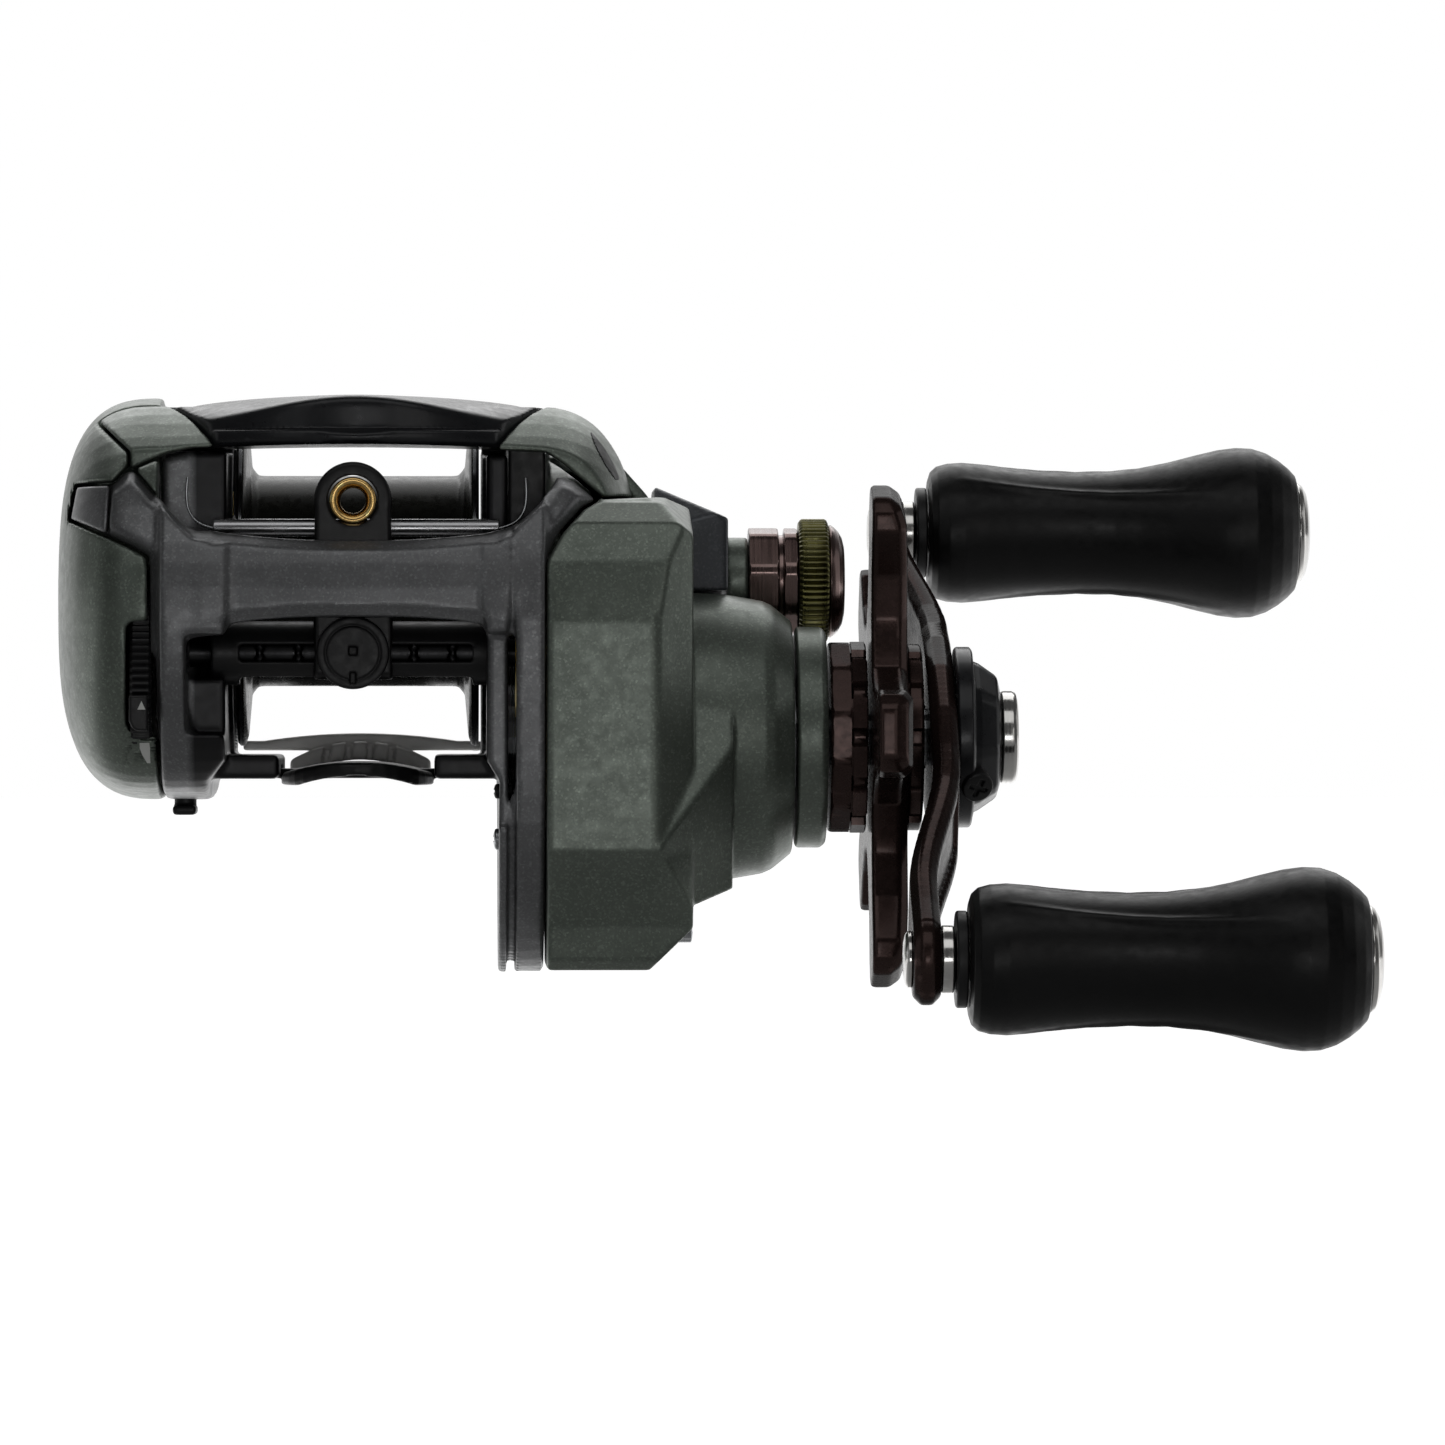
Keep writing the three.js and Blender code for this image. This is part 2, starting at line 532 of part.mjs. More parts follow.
for (let i = 0; i < 12; i += 1) {
  ratchet.push(polar(7.4, 30 * i), polar(6, 30 * i + 26));
}
put(driveAxis, 'ratchet_wheel', prism('x', ratchet, 18.2, 19.6, [circle(0, 0, 2.9, 16)]), steel);
put(driveAxis, 'drive_gear', prism(
  'x', gearOutline(GEAR_TEETH, GEAR_MODULE, gearAngle), ...GEAR_X, [circle(0, 0, 2.9, 16)],
), bronze);
put(driveAxis, 'drag_washer', ring(25.3, 26.5, 13, 2.9, 24), carbon);
put(driveAxis, 'pressure_plate', ring(26.8, 28.2, 12.4, 2.9, 24), steel);
put(driveAxis, 'roller_clutch', ring(31.6, 40.6, 9, 5.3, 24), steel);
put(driveAxis, 'clutch_sleeve', ring(28.6, 43.8, 5, 2.9, 24), steel);

// ---------------------------------------------------------------- pinion and clutch
const PINION_X = 16.8;
const DOG_PLAY = 36;              // degrees the spool's pin can turn in the pinion's slot, each way
const pinionAngle = gearAngle + 180 + 180 / PINION_TEETH;
const pinionTeeth = prism('x', gearOutline(PINION_TEETH, GEAR_MODULE, pinionAngle), 19.8, 28);
put(spoolAxis, 'pinion', cut(
  join(
    ring(PINION_X, PINION_X + 1.6, 3, 0, 20),
    ring(PINION_X + 1, 20, 1.8, 0, 16),
    pinionTeeth,
    ring(27.5, 30, 1.5, 0, 16),
  ),
  ring(15, 32, SHAFT_THIN + 0.15, 0, 16),
  ring(15, PINION_X + 1.7, SHAFT_R + RUN, 0, 16),
  ...[-1, 1].map((side) => prism('x', [
    [0.8 * side, 0], polar(4.5 * side, 90 - DOG_PLAY), polar(4.5 * side, 90 + DOG_PLAY), [-0.8 * side, 0],
  ], PINION_X - 1, PINION_X + 1.4)),
), brass);
const YOKE_ARM_WIDTH = 5.4;
const yokeArm = new THREE.BoxGeometry(1, 22, YOKE_ARM_WIDTH);
yokeArm.rotateX(Math.atan2(towardsPost[1], towardsPost[0])).translate(19.1, 0, 0);
const postFromAxis = (side) => [postAt(side)[0], postAt(side)[1] - SPOOL_Z];
const throatAngle = Math.atan2(towardsPost[0], -towardsPost[1]);
const yokeThroat = new THREE.BoxGeometry(3, 3.9, 6).translate(0, 0, 3).rotateX(-throatAngle + Math.PI / 2);
put(spoolAxis, 'clutch_yoke', cut(
  solidOf(yokeArm),
  ring(18, 20.5, 1.95, 0, 16),
  solidOf(yokeThroat.rotateX(Math.PI / 2).translate(19.1, 0, 0)),
  ...[-1, 1].map((side) => bar('x', 18, 21, YOKE_POST_R + RUN, postFromAxis(side), 12)),
), steel);

// A coil spring of round wire along X.
class Helix extends THREE.Curve {
  constructor(x0, x1, radius, turns) {
    super();
    Object.assign(this, { x0, x1, radius, turns });
  }

  getPoint(t, target = new THREE.Vector3()) {
    const angle = 2 * Math.PI * this.turns * t;
    const x = this.x0 + (this.x1 - this.x0) * t;
    return target.set(x, this.radius * Math.cos(angle), this.radius * Math.sin(angle));
  }
}
for (const [name, side] of [['yoke_spring_1', -1], ['yoke_spring_2', 1]]) {
  const wire = new THREE.Shape(circle(0, 0, 0.22, 4).map(([u, v]) => new THREE.Vector2(u, v)));
  const coil = new THREE.ExtrudeGeometry(wire, { steps: 40, extrudePath: new Helix(20.1, 25.4, 1.6, 4) });
  const spring = put(spoolAxis, name, solidOf(coil), steel);
  spring.position.set(0, ...postFromAxis(side));
}

// The clutch plate rides with the thumb bar; its two wedges hold the yoke away from the spool.
// A wedge's step is level with the top edge of the yoke arm, and its ramp falls away below that.
const WEDGE_Y = [3.6, 5.2];
const WEDGE_STEP = YOKE_ARM_WIDTH / 2 / towardsPost[0] + 0.6;
const WEDGE_CAP = 0.6;
const wedge = (y0, y1, z) => prism('y', [
  [14.9, z + WEDGE_STEP + WEDGE_CAP], [18.3, z + WEDGE_STEP + WEDGE_CAP], [18.3, z + WEDGE_STEP],
  [16.7, z + WEDGE_STEP - THUMB_TRAVEL], [14.9, z + WEDGE_STEP - THUMB_TRAVEL],
], y0, y1);
const armZ = (y) => SPOOL_Z + y * towardsPost[1] / towardsPost[0];
const clutchPlate = prism('x', [
  [-9.4, 15.6], [-6, 13], [2, 9], [10, 4.8], [15, 3.4], [20.4, 3.8], [20.4, 6], [16, 7], [10.4, 10.6],
  [9.6, 15.4], [8, 25.6], [-9.4, 25.6],
], PLATE_OUT + GAP, PLATE_OUT + 1);
put(reel, 'clutch_plate', join(
  cut(
    clutchPlate,
    prism('x', slot(0, SPOOL_Z - THUMB_TRAVEL, SPOOL_Z, 3.3), 13, 17),
    ...[-1, 1].map((side) => {
      const [y, z] = postAt(side);
      return prism('x', slot(y, z - THUMB_TRAVEL, z, YOKE_POST_R + GAP), 13, 17);
    }),
  ),
  wedge(WEDGE_Y[0], WEDGE_Y[1], armZ((WEDGE_Y[0] + WEDGE_Y[1]) / 2)),
  wedge(-WEDGE_Y[1], -WEDGE_Y[0], armZ(-(WEDGE_Y[0] + WEDGE_Y[1]) / 2)),
), steel);

// ---------------------------------------------------------------- thumb bar
const padTop = arc(0, -10.6, 14.4, 119, 61, 10);
const padUnder = arc(0, -10.6, 12.6, 61, 119, 10);
const ribs = [-3, -1, 1, 3].map((x) => box(x - 0.25, x + 0.25, 18, 25, 3.3, 5));
put(reel, 'thumb_bar', join(
  cut(prism('y', [...padTop, ...padUnder], 18.6, 24), ...ribs),
  box(-11.6, 11.6, 19.4, 21.8, 2.2, 3.2),
  box(11, 14.3, 19.8, 21.6, 2.2, 3.2),
), greyTextured);

// ---------------------------------------------------------------- gear side cover
const coverBase = smooth([
  [23.5, 3], [25.2, 8], [23, 16], [15.5, 25], [5, 30.5], [-6, 31.5], [-17, 29.5], [-25, 26],
  [-30.2, 17], [-30.6, 4], [-28.8, -7], [-24, -14], [-16, -18], [-6, -18], [1, -13], [6, -5], [14, 0],
], 28);
const coverShoulder = smooth([
  [21, 5], [21.6, 11], [17, 20], [9, 26], [0, 27.8], [-10, 27.6], [-20, 26.6], [-26, 23.6],
  [-30, 15], [-30.4, 4], [-28.4, -7], [-23, -14], [-15, -17.6], [-7, -17.6], [0, -12], [4, -5], [12, 1],
], 28);
const coverFace = smooth([
  [-2, 22], [-10, 24], [-20, 25.4], [-26, 21], [-29, 13], [-29.4, 2], [-27, -7], [-22, -13],
  [-14, -15.4], [-6, -14], [1, -8], [5, 0], [4, 10],
], 24);
const BOSS_BASE = circle(DRIVE_Y, DRIVE_Z, 15.2, 26);
const coverBody = join(
  loft([[RIM_OUT + GAP, coverBase], [25.5, coverShoulder], [27.9, scaled(coverShoulder, [-8, 6], 0.96)]]),
  loft([[24, coverFace], [31.6, coverFace], [35.3, BOSS_BASE]]),
  loft([
    [20, circle(0, SPOOL_Z, 8.4, 20)], [33.6, circle(0, SPOOL_Z, 7.6, 20)],
    [35.5, circle(0, SPOOL_Z, 6.6, 20)],
  ]),
  bar('x', 33, 41.2, 12.6, [DRIVE_Y, DRIVE_Z], 32),
  bar('x', 34, 37.4, 4.3, [0, SPOOL_Z], 24),
);
const coverRoom = join(
  loft([[RIM_OUT - 1, inset(coverBase, 1.5)], [25.5, inset(coverShoulder, 1.5)]]),
  box(RIM_OUT - 1, 18.8, -WEDGE_Y[1] - 0.6, -WEDGE_Y[0] + 0.6, 24, 30.8),
  loft([[24, inset(coverFace, 1.6)], [29.9, inset(coverFace, 1.6)]]),
  bar('x', 24, 33, 4, [0, SPOOL_Z], 20),
  bar('x', 24, 40.9, 9.2, [DRIVE_Y, DRIVE_Z], 28),
  bar('x', 30, 42, 5.8, [DRIVE_Y, DRIVE_Z], 24),
  bar('x', 30, 38, 1.4, [0, SPOOL_Z], 16),
);
put(reel, 'gear_side_cover', cut(coverBody, coverRoom, hoodRoom), greenSatin);
put(driveAxis, 'boss_collar', ring(41.5, 44.4, 10.5, 5.4, 28), greenSatin);

// ---------------------------------------------------------------- cast-control cap
put(spoolAxis, 'cast_control_cap', turned([
  [37.8, 2.9], [37.8, 5.2], [40.2, 5.2], [40.4, 4.6], [40.9, 4.6], [41, 5.2],
  [42, 5.2], [42, 4.6], [45.2, 4.6],
  [45.2, 5.1], [46, 5], [46.7, 4], [46.7, 0], [39.9, 0], [39.9, 2.9], [37.8, 2.9],
], 20), brownAnodised);
put(spoolAxis, 'cast_control_ring', prism(
  'x', gearOutline(30, 0.39, 0, 0.6), 42.3, 44.9, [circle(0, 0, 4.8, 20)],
), olive);

// ---------------------------------------------------------------- drag star and handle
put(driveAxis, 'drag_bushing', ring(44.7, 48.2, 9.4, 2.9, 28), brownAnodised);
const starOutline = [];
for (let i = 0; i < STAR_ARMS; i += 1) {
  const middle = STAR_PHASE + 360 * i / STAR_ARMS;
  starOutline.push(
    polar(9.6, middle - 36),
    polar(11.5, middle - 20),
    polar(STAR_R - 1.2, middle - 8),
    ...arc(0, 0, STAR_R, middle - 5, middle + 5, 2),
    polar(STAR_R - 1.2, middle + 8),
    polar(11.5, middle + 20),
  );
}
put(driveAxis, 'star_drag', prism('x', starOutline, 48.5, 51.7, [circle(0, 0, 2.9, 20)]), brownAnodised);

// Built along +Y, then turned to the handle's rest angle.
const handlePlan = [
  ...arc(HANDLE_R, 0, 4.2, -70, 70, 6), [14, 5.6], ...arc(0, 0, 7.4, 55, 125, 4), [-14, 5.6],
  ...arc(-HANDLE_R, 0, 4.2, 110, 250, 6), [-14, -5.6], ...arc(0, 0, 7.4, 235, 305, 4), [14, -5.6],
];
const sweep = (x, end) => [[-47, x - end], [-36, x - end], [-13, x], [13, x], [36, x - end], [47, x - end]];
const handleEdge = [...sweep(54, 3.7), ...sweep(57, 3.7).reverse()];
const handleProfile = handleEdge.map(([y, x]) => [x, y]);
const handleBar = prism('x', handlePlan, 45, 60).intersect(prism('z', handleProfile, -9, 9));
const handle = new THREE.Group();
handle.rotation.x = rad(HANDLE_ANGLE);
driveAxis.add(handle);
put(handle, 'handle_plate', cut(
  handleBar,
  ring(50, 60, 2.9, 0, 16),
  ...[-1, 1].map((side) => bar('x', 48, 56, 2.1, [side * HANDLE_R, 0], 14)),
), brownAnodised);
put(driveAxis, 'nut_cover', cut(
  turned([[57.3, 0], [57.3, 8.5], [58.6, 8.5], [58.8, 7], [60.8, 5.6], [60.8, 0]], 24),
  ring(57, 60, 4.7, 0, 20),
), blackPlastic);
put(driveAxis, 'nut_cap', turned([[61.1, 0], [61.1, 4.4], [62.3, 4.4], [62.7, 3.9], [62.7, 0]], 20), silver);

const knobProfile = [
  [0.3, 3.4], [0, 5.2], [0.6, 6.5], [2.4, 6.85], [8, 6.3], [15, 5.9], [21, 6.4],
  [26, 7.7], [30.6, 8.45], [33.4, 7.9],
  [37, 5.7], [37, 2.6], [36, 2.2], [0.3, 2.2], [0.3, 3.4],
];
for (const [number, side] of [[1, 1], [2, -1]]) {
  const knobAxis = new THREE.Group();
  knobAxis.position.set(0, side * HANDLE_R, 0);
  handle.add(knobAxis);
  put(knobAxis, `knob_spindle_${number}`, turned([
    [49.4, 0], [49.4, 2.6], [50, 2.6], [50, 1.9], [53.6, 1.9], [53.6, 3.1],
    [54.9, 3.1], [54.9, 4.4], [55.8, 4.4],
    [55.8, 2], [91, 2], [91, 0],
  ], 16), silver);
  const knob = put(knobAxis, `knob_${number}`, turned(knobProfile, 20), blackRubber);
  knob.position.x = KNOB_START;
  put(knobAxis, `knob_cap_${number}`, turned([
    [92.3, 0], [92.3, 2.1], [93.3, 2.1], [93.3, 5.1], [93.8, 4.9], [94, 0],
  ], 20), silver);
}

export default reel;
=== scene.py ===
# Low-profile baitcasting reel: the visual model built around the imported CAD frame.
# All shapes are written in millimetres and turned into metres when their mesh is made.
# +X runs from the palm side to the handle, -Y is the front, +Z is up, as in the CAD model.
import math

import bpy
import numpy as np
from mathutils import Matrix, Vector


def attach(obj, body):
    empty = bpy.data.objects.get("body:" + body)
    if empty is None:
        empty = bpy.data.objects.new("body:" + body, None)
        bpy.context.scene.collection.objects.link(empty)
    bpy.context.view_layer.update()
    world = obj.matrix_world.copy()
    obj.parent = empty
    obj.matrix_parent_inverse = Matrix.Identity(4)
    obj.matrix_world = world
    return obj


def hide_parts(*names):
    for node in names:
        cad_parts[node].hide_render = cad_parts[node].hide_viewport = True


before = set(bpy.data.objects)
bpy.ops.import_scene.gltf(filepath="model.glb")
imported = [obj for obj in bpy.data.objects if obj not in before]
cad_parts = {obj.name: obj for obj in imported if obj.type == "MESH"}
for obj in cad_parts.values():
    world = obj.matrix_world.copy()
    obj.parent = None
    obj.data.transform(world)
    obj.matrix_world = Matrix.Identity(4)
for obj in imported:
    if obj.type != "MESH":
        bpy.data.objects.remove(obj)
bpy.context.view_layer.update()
MM = 0.001


# ---- shared dimensions (mm)
SPOOL = (0.0, 18.6)               # (Y, Z) of the spool axis
DRIVE = (-11.09, 3.6)             # drive axis
WORM = (-22.5, 11.5)
ROD = (-24.0, 23.2)
DIAL = (-21.4, 9.3)
KNOBS = {1: (-47.9135, -16.6015), 2: (25.7316, 23.8015)}
HANDLE_ANGLE = math.radians(208.75)
FRAME_IN = 12.2
PALM_OUT = -18.2
RIM_OUT = 17.6


# ---- node materials
class Nodes:
    """A short way to write the shader nodes of a material or a world."""

    def __init__(self, owner):
        owner.use_nodes = True
        self.tree = owner.node_tree

    def add(self, kind, **settings):
        node = self.tree.nodes.new(kind)
        for key, value in settings.items():
            setattr(node, key, value)
        return node

    def link(self, source, target):
        self.tree.links.new(source, target)

    def stretched(self, scale):
        mapping = self.add("ShaderNodeMapping")
        mapping.inputs["Scale"].default_value = scale
        self.link(self.coords, mapping.inputs["Vector"])
        return mapping.outputs["Vector"]

    def noise(self, scale, detail=2.0, vector=None, rough=0.5):
        node = self.add("ShaderNodeTexNoise")
        node.inputs["Scale"].default_value = scale
        node.inputs["Detail"].default_value = detail
        node.inputs["Roughness"].default_value = rough
        self.link(vector or self.coords, node.inputs["Vector"])
        return node.outputs["Fac"]

    def cloud(self, scale, detail, low=0.0, high=1.0):
        """Soft noise spread over a range of values."""
        return self.span(self.noise(scale, detail), 0.3, 0.7, low, high)

    def cells(self, scale, output="Color"):
        node = self.add("ShaderNodeTexVoronoi")
        node.inputs["Scale"].default_value = scale
        self.link(self.coords, node.inputs["Vector"])
        return node.outputs[output]

    def span(self, source, low, high, to_low=0.0, to_high=1.0, smooth=False):
        node = self.add("ShaderNodeMapRange")
        if smooth:
            node.interpolation_type = "SMOOTHSTEP"
        for number, value in enumerate((low, high, to_low, to_high), 1):
            node.inputs[number].default_value = value
        self.link(source, node.inputs["Value"])
        return node.outputs["Result"]

    def math(self, operation, a, b):
        node = self.add("ShaderNodeMath", operation=operation)
        for socket, value in zip(node.inputs, (a, b)):
            if isinstance(value, (int, float)):
                socket.default_value = value
            else:
                self.link(value, socket)
        return node.outputs[0]

    def mix(self, factor, a, b):
        node = self.add("ShaderNodeMix", data_type="RGBA")
        self.link(factor, node.inputs["Factor"])
        for socket, value in ((node.inputs[6], a), (node.inputs[7], b)):
            if isinstance(value, tuple):
                socket.default_value = (*value, 1.0)
            else:
                self.link(value, socket)
        return node.outputs[2]

    def bump(self, height, distance, strength=1.0, under=None):
        node = self.add("ShaderNodeBump")
        node.inputs["Distance"].default_value = distance * MM
        node.inputs["Strength"].default_value = strength
        self.link(height, node.inputs["Height"])
        if under:
            self.link(under, node.inputs["Normal"])
        return node.outputs["Normal"]

    def edges(self, low=0.52, high=0.62):
        """Towards 1 on raised edges; the materials lighten their colour there."""
        return self.span(self.add("ShaderNodeNewGeometry").outputs["Pointiness"], low, high, smooth=True)


class Look(Nodes):
    """A procedural material."""

    def __init__(self, name):
        self.material = bpy.data.materials.new(name)
        super().__init__(self.material)
        self.bsdf = self.tree.nodes["Principled BSDF"]
        self.coords = self.add("ShaderNodeTexCoord").outputs["Object"]

    def finish(self, color=None, rough=None, normal=None, **constants):
        for socket, value in (("Base Color", color), ("Roughness", rough), ("Normal", normal)):
            if value is not None:
                self.link(value, self.bsdf.inputs[socket])
        for key, value in constants.items():
            self.bsdf.inputs[key.replace("_", " ")].default_value = value
        return self.material


def metallic_paint(name, dark, light, rough=0.40, flake=0.5, metal=0.85, shade_mask=None):
    """Satin metallic paint over a casting: fine flakes, a soft cloud of tone and a slight orange peel."""
    n = Look(name)
    flakes = n.math("POWER", n.span(n.cells(5200), 0.25, 0.95), 3.0)
    base = n.mix(n.cloud(90, 3), dark, light)
    bright = tuple(min(1.0, c * 2.2 + 0.03) for c in light)
    base = n.mix(n.math("MULTIPLY", flakes, flake), base, bright)
    # Painted shade: a mask, where given, turns the paint near black where the inside of a part lies in
    # shadow.
    if shade_mask:
        base = n.mix(shade_mask(n), base, (0.004, 0.004, 0.005))
    roughness = n.cloud(900, 4, rough - 0.05, rough + 0.07)
    normal = n.bump(n.noise(700, 2), 0.012, 0.6)
    normal = n.bump(n.cells(5200, "Distance"), 0.010, 0.35, normal)
    return n.finish(base, roughness, normal, Metallic=metal, Coat_Weight=0.12, Coat_Roughness=0.25)


def gloss_paint(name, dark, light, rough=0.24, metal=0.2, coat=0.5, specular=0.5, rim=1.0):
    n = Look(name)
    base = n.mix(n.cloud(120, 3), dark, light)
    base = n.mix(n.math("MULTIPLY", n.edges(), 0.25), base, tuple(c * 3 + 0.02 for c in light))
    roughness = n.cloud(1400, 4, rough - 0.04, rough + 0.08)
    normal = n.bump(n.noise(500, 2), 0.01, 0.5)
    return n.finish(base, roughness, normal, Metallic=metal, Coat_Weight=coat, Coat_Roughness=0.12,
                    Specular_IOR_Level=specular, Specular_Tint=(rim, rim, rim, 1))


def turned_metal(name, dark, light, rough=0.22, along=(5200, 60, 60), lines=0.5, coat=0.0):
    """Machined or anodised metal with fine turning lines, finest along the axis it was turned on."""
    n = Look(name)
    tool_marks = n.noise(1.0, 3, n.stretched(along))
    base = n.mix(n.cloud(260, 3), dark, light)
    base = n.mix(n.math("MULTIPLY", n.edges(), 0.45), base, tuple(min(1.0, c * 1.8 + 0.08) for c in light))
    roughness = n.span(tool_marks, 0.3, 0.7, rough - 0.06, rough + 0.10)
    normal = n.bump(tool_marks, 0.0012, lines)
    return n.finish(base, roughness, normal, Metallic=1.0, Coat_Weight=coat, Anisotropic=0.45)


def moulded(name, dark, light, rough=0.5, grain=2600, depth=0.02, **extra):
    """Moulded plastic or rubber with a fine grain."""
    n = Look(name)
    base = n.mix(n.cloud(150, 4), dark, light)
    roughness = n.cloud(grain * 0.4, 4, rough - 0.07, rough + 0.09)
    normal = n.bump(n.noise(grain, 2), depth, 0.7)
    normal = n.bump(n.noise(grain * 0.12, 2), depth * 2, 0.3, normal)
    return n.finish(base, roughness, normal, **extra)


def woven(name):
    """Carbon fibre drag washer."""
    n = Look(name)
    weave = n.add("ShaderNodeTexChecker")
    weave.inputs["Scale"].default_value = 900
    n.link(n.coords, weave.inputs["Vector"])
    base = n.mix(weave.outputs["Fac"], (0.012, 0.012, 0.013), (0.035, 0.035, 0.036))
    return n.finish(base, n.cloud(1800, 3, 0.35, 0.6), n.bump(weave.outputs["Fac"], 0.03, 0.6))


def painted_inside_shade(n):
    """Painted shade: near black inside the frame, behind its front face and between the two sides, where
    the inside lies in shadow.
    """
    split = n.add("ShaderNodeSeparateXYZ")
    n.link(n.coords, split.inputs[0])
    x, y, z = split.outputs
    between = n.math("MULTIPLY", n.span(x, -0.0158, -0.0150), n.span(x, 0.0160, 0.0152))
    behind = n.math("MULTIPLY", n.span(y, -0.0290, -0.0284), n.span(y, -0.0085, -0.0105))
    return n.math("MULTIPLY", n.math("MULTIPLY", between, behind), n.span(z, -0.0050, -0.0042))


# Painted shade: the grey paint turns near black inside the frame, where the inside lies in shadow.
GREY = metallic_paint("grey_satin", (0.105, 0.107, 0.110), (0.150, 0.153, 0.157), 0.38, 0.30, 0.6,
                      shade_mask=painted_inside_shade)
GREEN = metallic_paint("green_satin", (0.094, 0.112, 0.094), (0.138, 0.160, 0.136), 0.38, 0.35, 0.6)
BLACK = gloss_paint("black_satin", (0.0075, 0.0080, 0.0095), (0.012, 0.0125, 0.0145), 0.30, 0.2, 0.12, 0.30)
BLOCK = gloss_paint("guide_black", (0.0030, 0.0030, 0.0033), (0.005, 0.005, 0.0055), 0.38, 0.05, 0.05, 0.25)
SLATE = metallic_paint("slate_satin", (0.045, 0.049, 0.055), (0.070, 0.075, 0.083), 0.34, 0.25, 0.5)
BROWN = turned_metal("brown_anodised", (0.120, 0.078, 0.072), (0.180, 0.125, 0.115), 0.22, coat=0.3)
BROWN_DARK = gloss_paint("dark_brown_anodised", (0.030, 0.018, 0.016), (0.048, 0.030, 0.027), 0.24, 0.7,
                         0.10, 0.25, 0.2)
OLIVE = turned_metal("olive_anodised", (0.085, 0.080, 0.022), (0.130, 0.122, 0.042), 0.30, coat=0.15)
SPOOL_OLIVE = gloss_paint("spool_olive", (0.0030, 0.0032, 0.0014), (0.0065, 0.0068, 0.003), 0.26, 0.1,
                          0.0, 0.14)
RUBBER = moulded("black_rubber", (0.0022, 0.0022, 0.0023), (0.0042, 0.0042, 0.0044), 0.36, 2400, 0.014,
                 Specular_IOR_Level=0.22)
TEXTURED = moulded("grey_plastic", (0.70, 0.695, 0.68), (0.80, 0.79, 0.77), 0.50, 1700, 0.05, Metallic=0.15)
PLASTIC = moulded("black_plastic", (0.0045, 0.0045, 0.005), (0.0085, 0.0085, 0.009), 0.40, 3000, 0.012,
                  Specular_IOR_Level=0.30)
SILVER = turned_metal("silver", (0.50, 0.49, 0.475), (0.66, 0.65, 0.63), 0.16)
STEEL = turned_metal("steel", (0.27, 0.28, 0.29), (0.42, 0.43, 0.44), 0.24)
POLISHED = moulded("polished_steel", (0.34, 0.34, 0.35), (0.42, 0.42, 0.43), 0.24, 900, 0.002, Metallic=1.0)
GOLD = turned_metal("gold", (0.56, 0.36, 0.13), (0.72, 0.49, 0.20), 0.20, (60, 5200, 60), 0.2)
BRASS = turned_metal("brass", (0.42, 0.30, 0.11), (0.60, 0.44, 0.18), 0.30)
BRONZE = turned_metal("bronze", (0.16, 0.10, 0.055), (0.26, 0.17, 0.09), 0.36)
GUNMETAL = turned_metal("dark_steel", (0.018, 0.018, 0.019), (0.035, 0.035, 0.036), 0.34)
CARBON = woven("carbon")
MARK = moulded("pale_mark", (0.42, 0.43, 0.41), (0.55, 0.56, 0.54), 0.6, 2600, 0.01)


def own_name(material):
    """A material's name without the number that Blender adds to a second one."""
    return material.name.split(".")[0]


SLOTS = {own_name(look): look for look in (
    GREY, GREEN, BLACK, BROWN, OLIVE, SPOOL_OLIVE, RUBBER, TEXTURED, PLASTIC, SILVER, STEEL, GOLD, BRASS,
    CARBON, BRONZE)}


# ---- making pieces
def place(name, data, at=(0, 0, 0), towards=None):
    """Adds an object to the scene; a lamp or a camera is aimed at a point."""
    obj = bpy.data.objects.new(name, data)
    obj.location = Vector(at) * MM
    if towards:
        obj.rotation_euler = (Vector(towards) - Vector(at)).to_track_quat("-Z", "Y").to_euler()
    bpy.context.scene.collection.objects.link(obj)
    return obj


def piece(name, mesh, material, body, nodes=(), smooth=True):
    """One visual piece that rides on a body and stands for some CAD nodes."""
    mesh.materials.append(material)
    if smooth:
        mesh.shade_smooth()
    obj = place(name, mesh)
    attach(obj, body)
    if nodes:
        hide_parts(*nodes)
    return obj


def carved(name, field, low, high, step, material, body, *nodes):
    """A piece whose surface is where a distance field is zero, inside a box."""
    return piece(name, net(name, field, low, high, step), material, body, nodes)


def mesh_of(name, points, faces):
    """A mesh in metres from points in millimetres."""
    mesh = bpy.data.meshes.new(name)
    mesh.from_pydata((np.asarray(points, float) * MM).tolist(), [], faces)
    mesh.validate()
    mesh.update()
    return mesh


# ---- turned parts
def eased(profile, radius):
    """A profile with its corners rounded off, apart from those with too short a side."""
    out = []
    count = len(profile)
    for i, point in enumerate(profile):
        if i in (0, count - 1):
            out.append(point)
            continue
        a, b, c = (np.array(profile[j], float) for j in (i - 1, i, i + 1))
        la, lc = np.linalg.norm(a - b), np.linalg.norm(c - b)
        cut = min(radius, la * 0.45, lc * 0.45)
        turn = np.cross(b - a, c - b) / max(la * lc, 1e-9)
        if cut < 0.02 or abs(turn) < 0.12:
            out.append(point)
            continue
        p, q = b + (a - b) * cut / la, b + (c - b) * cut / lc
        for t in (0, 1 / 3, 2 / 3, 1):
            out.append(tuple((1 - t) ** 2 * p + 2 * t * (1 - t) * b + t * t * q))
    return out


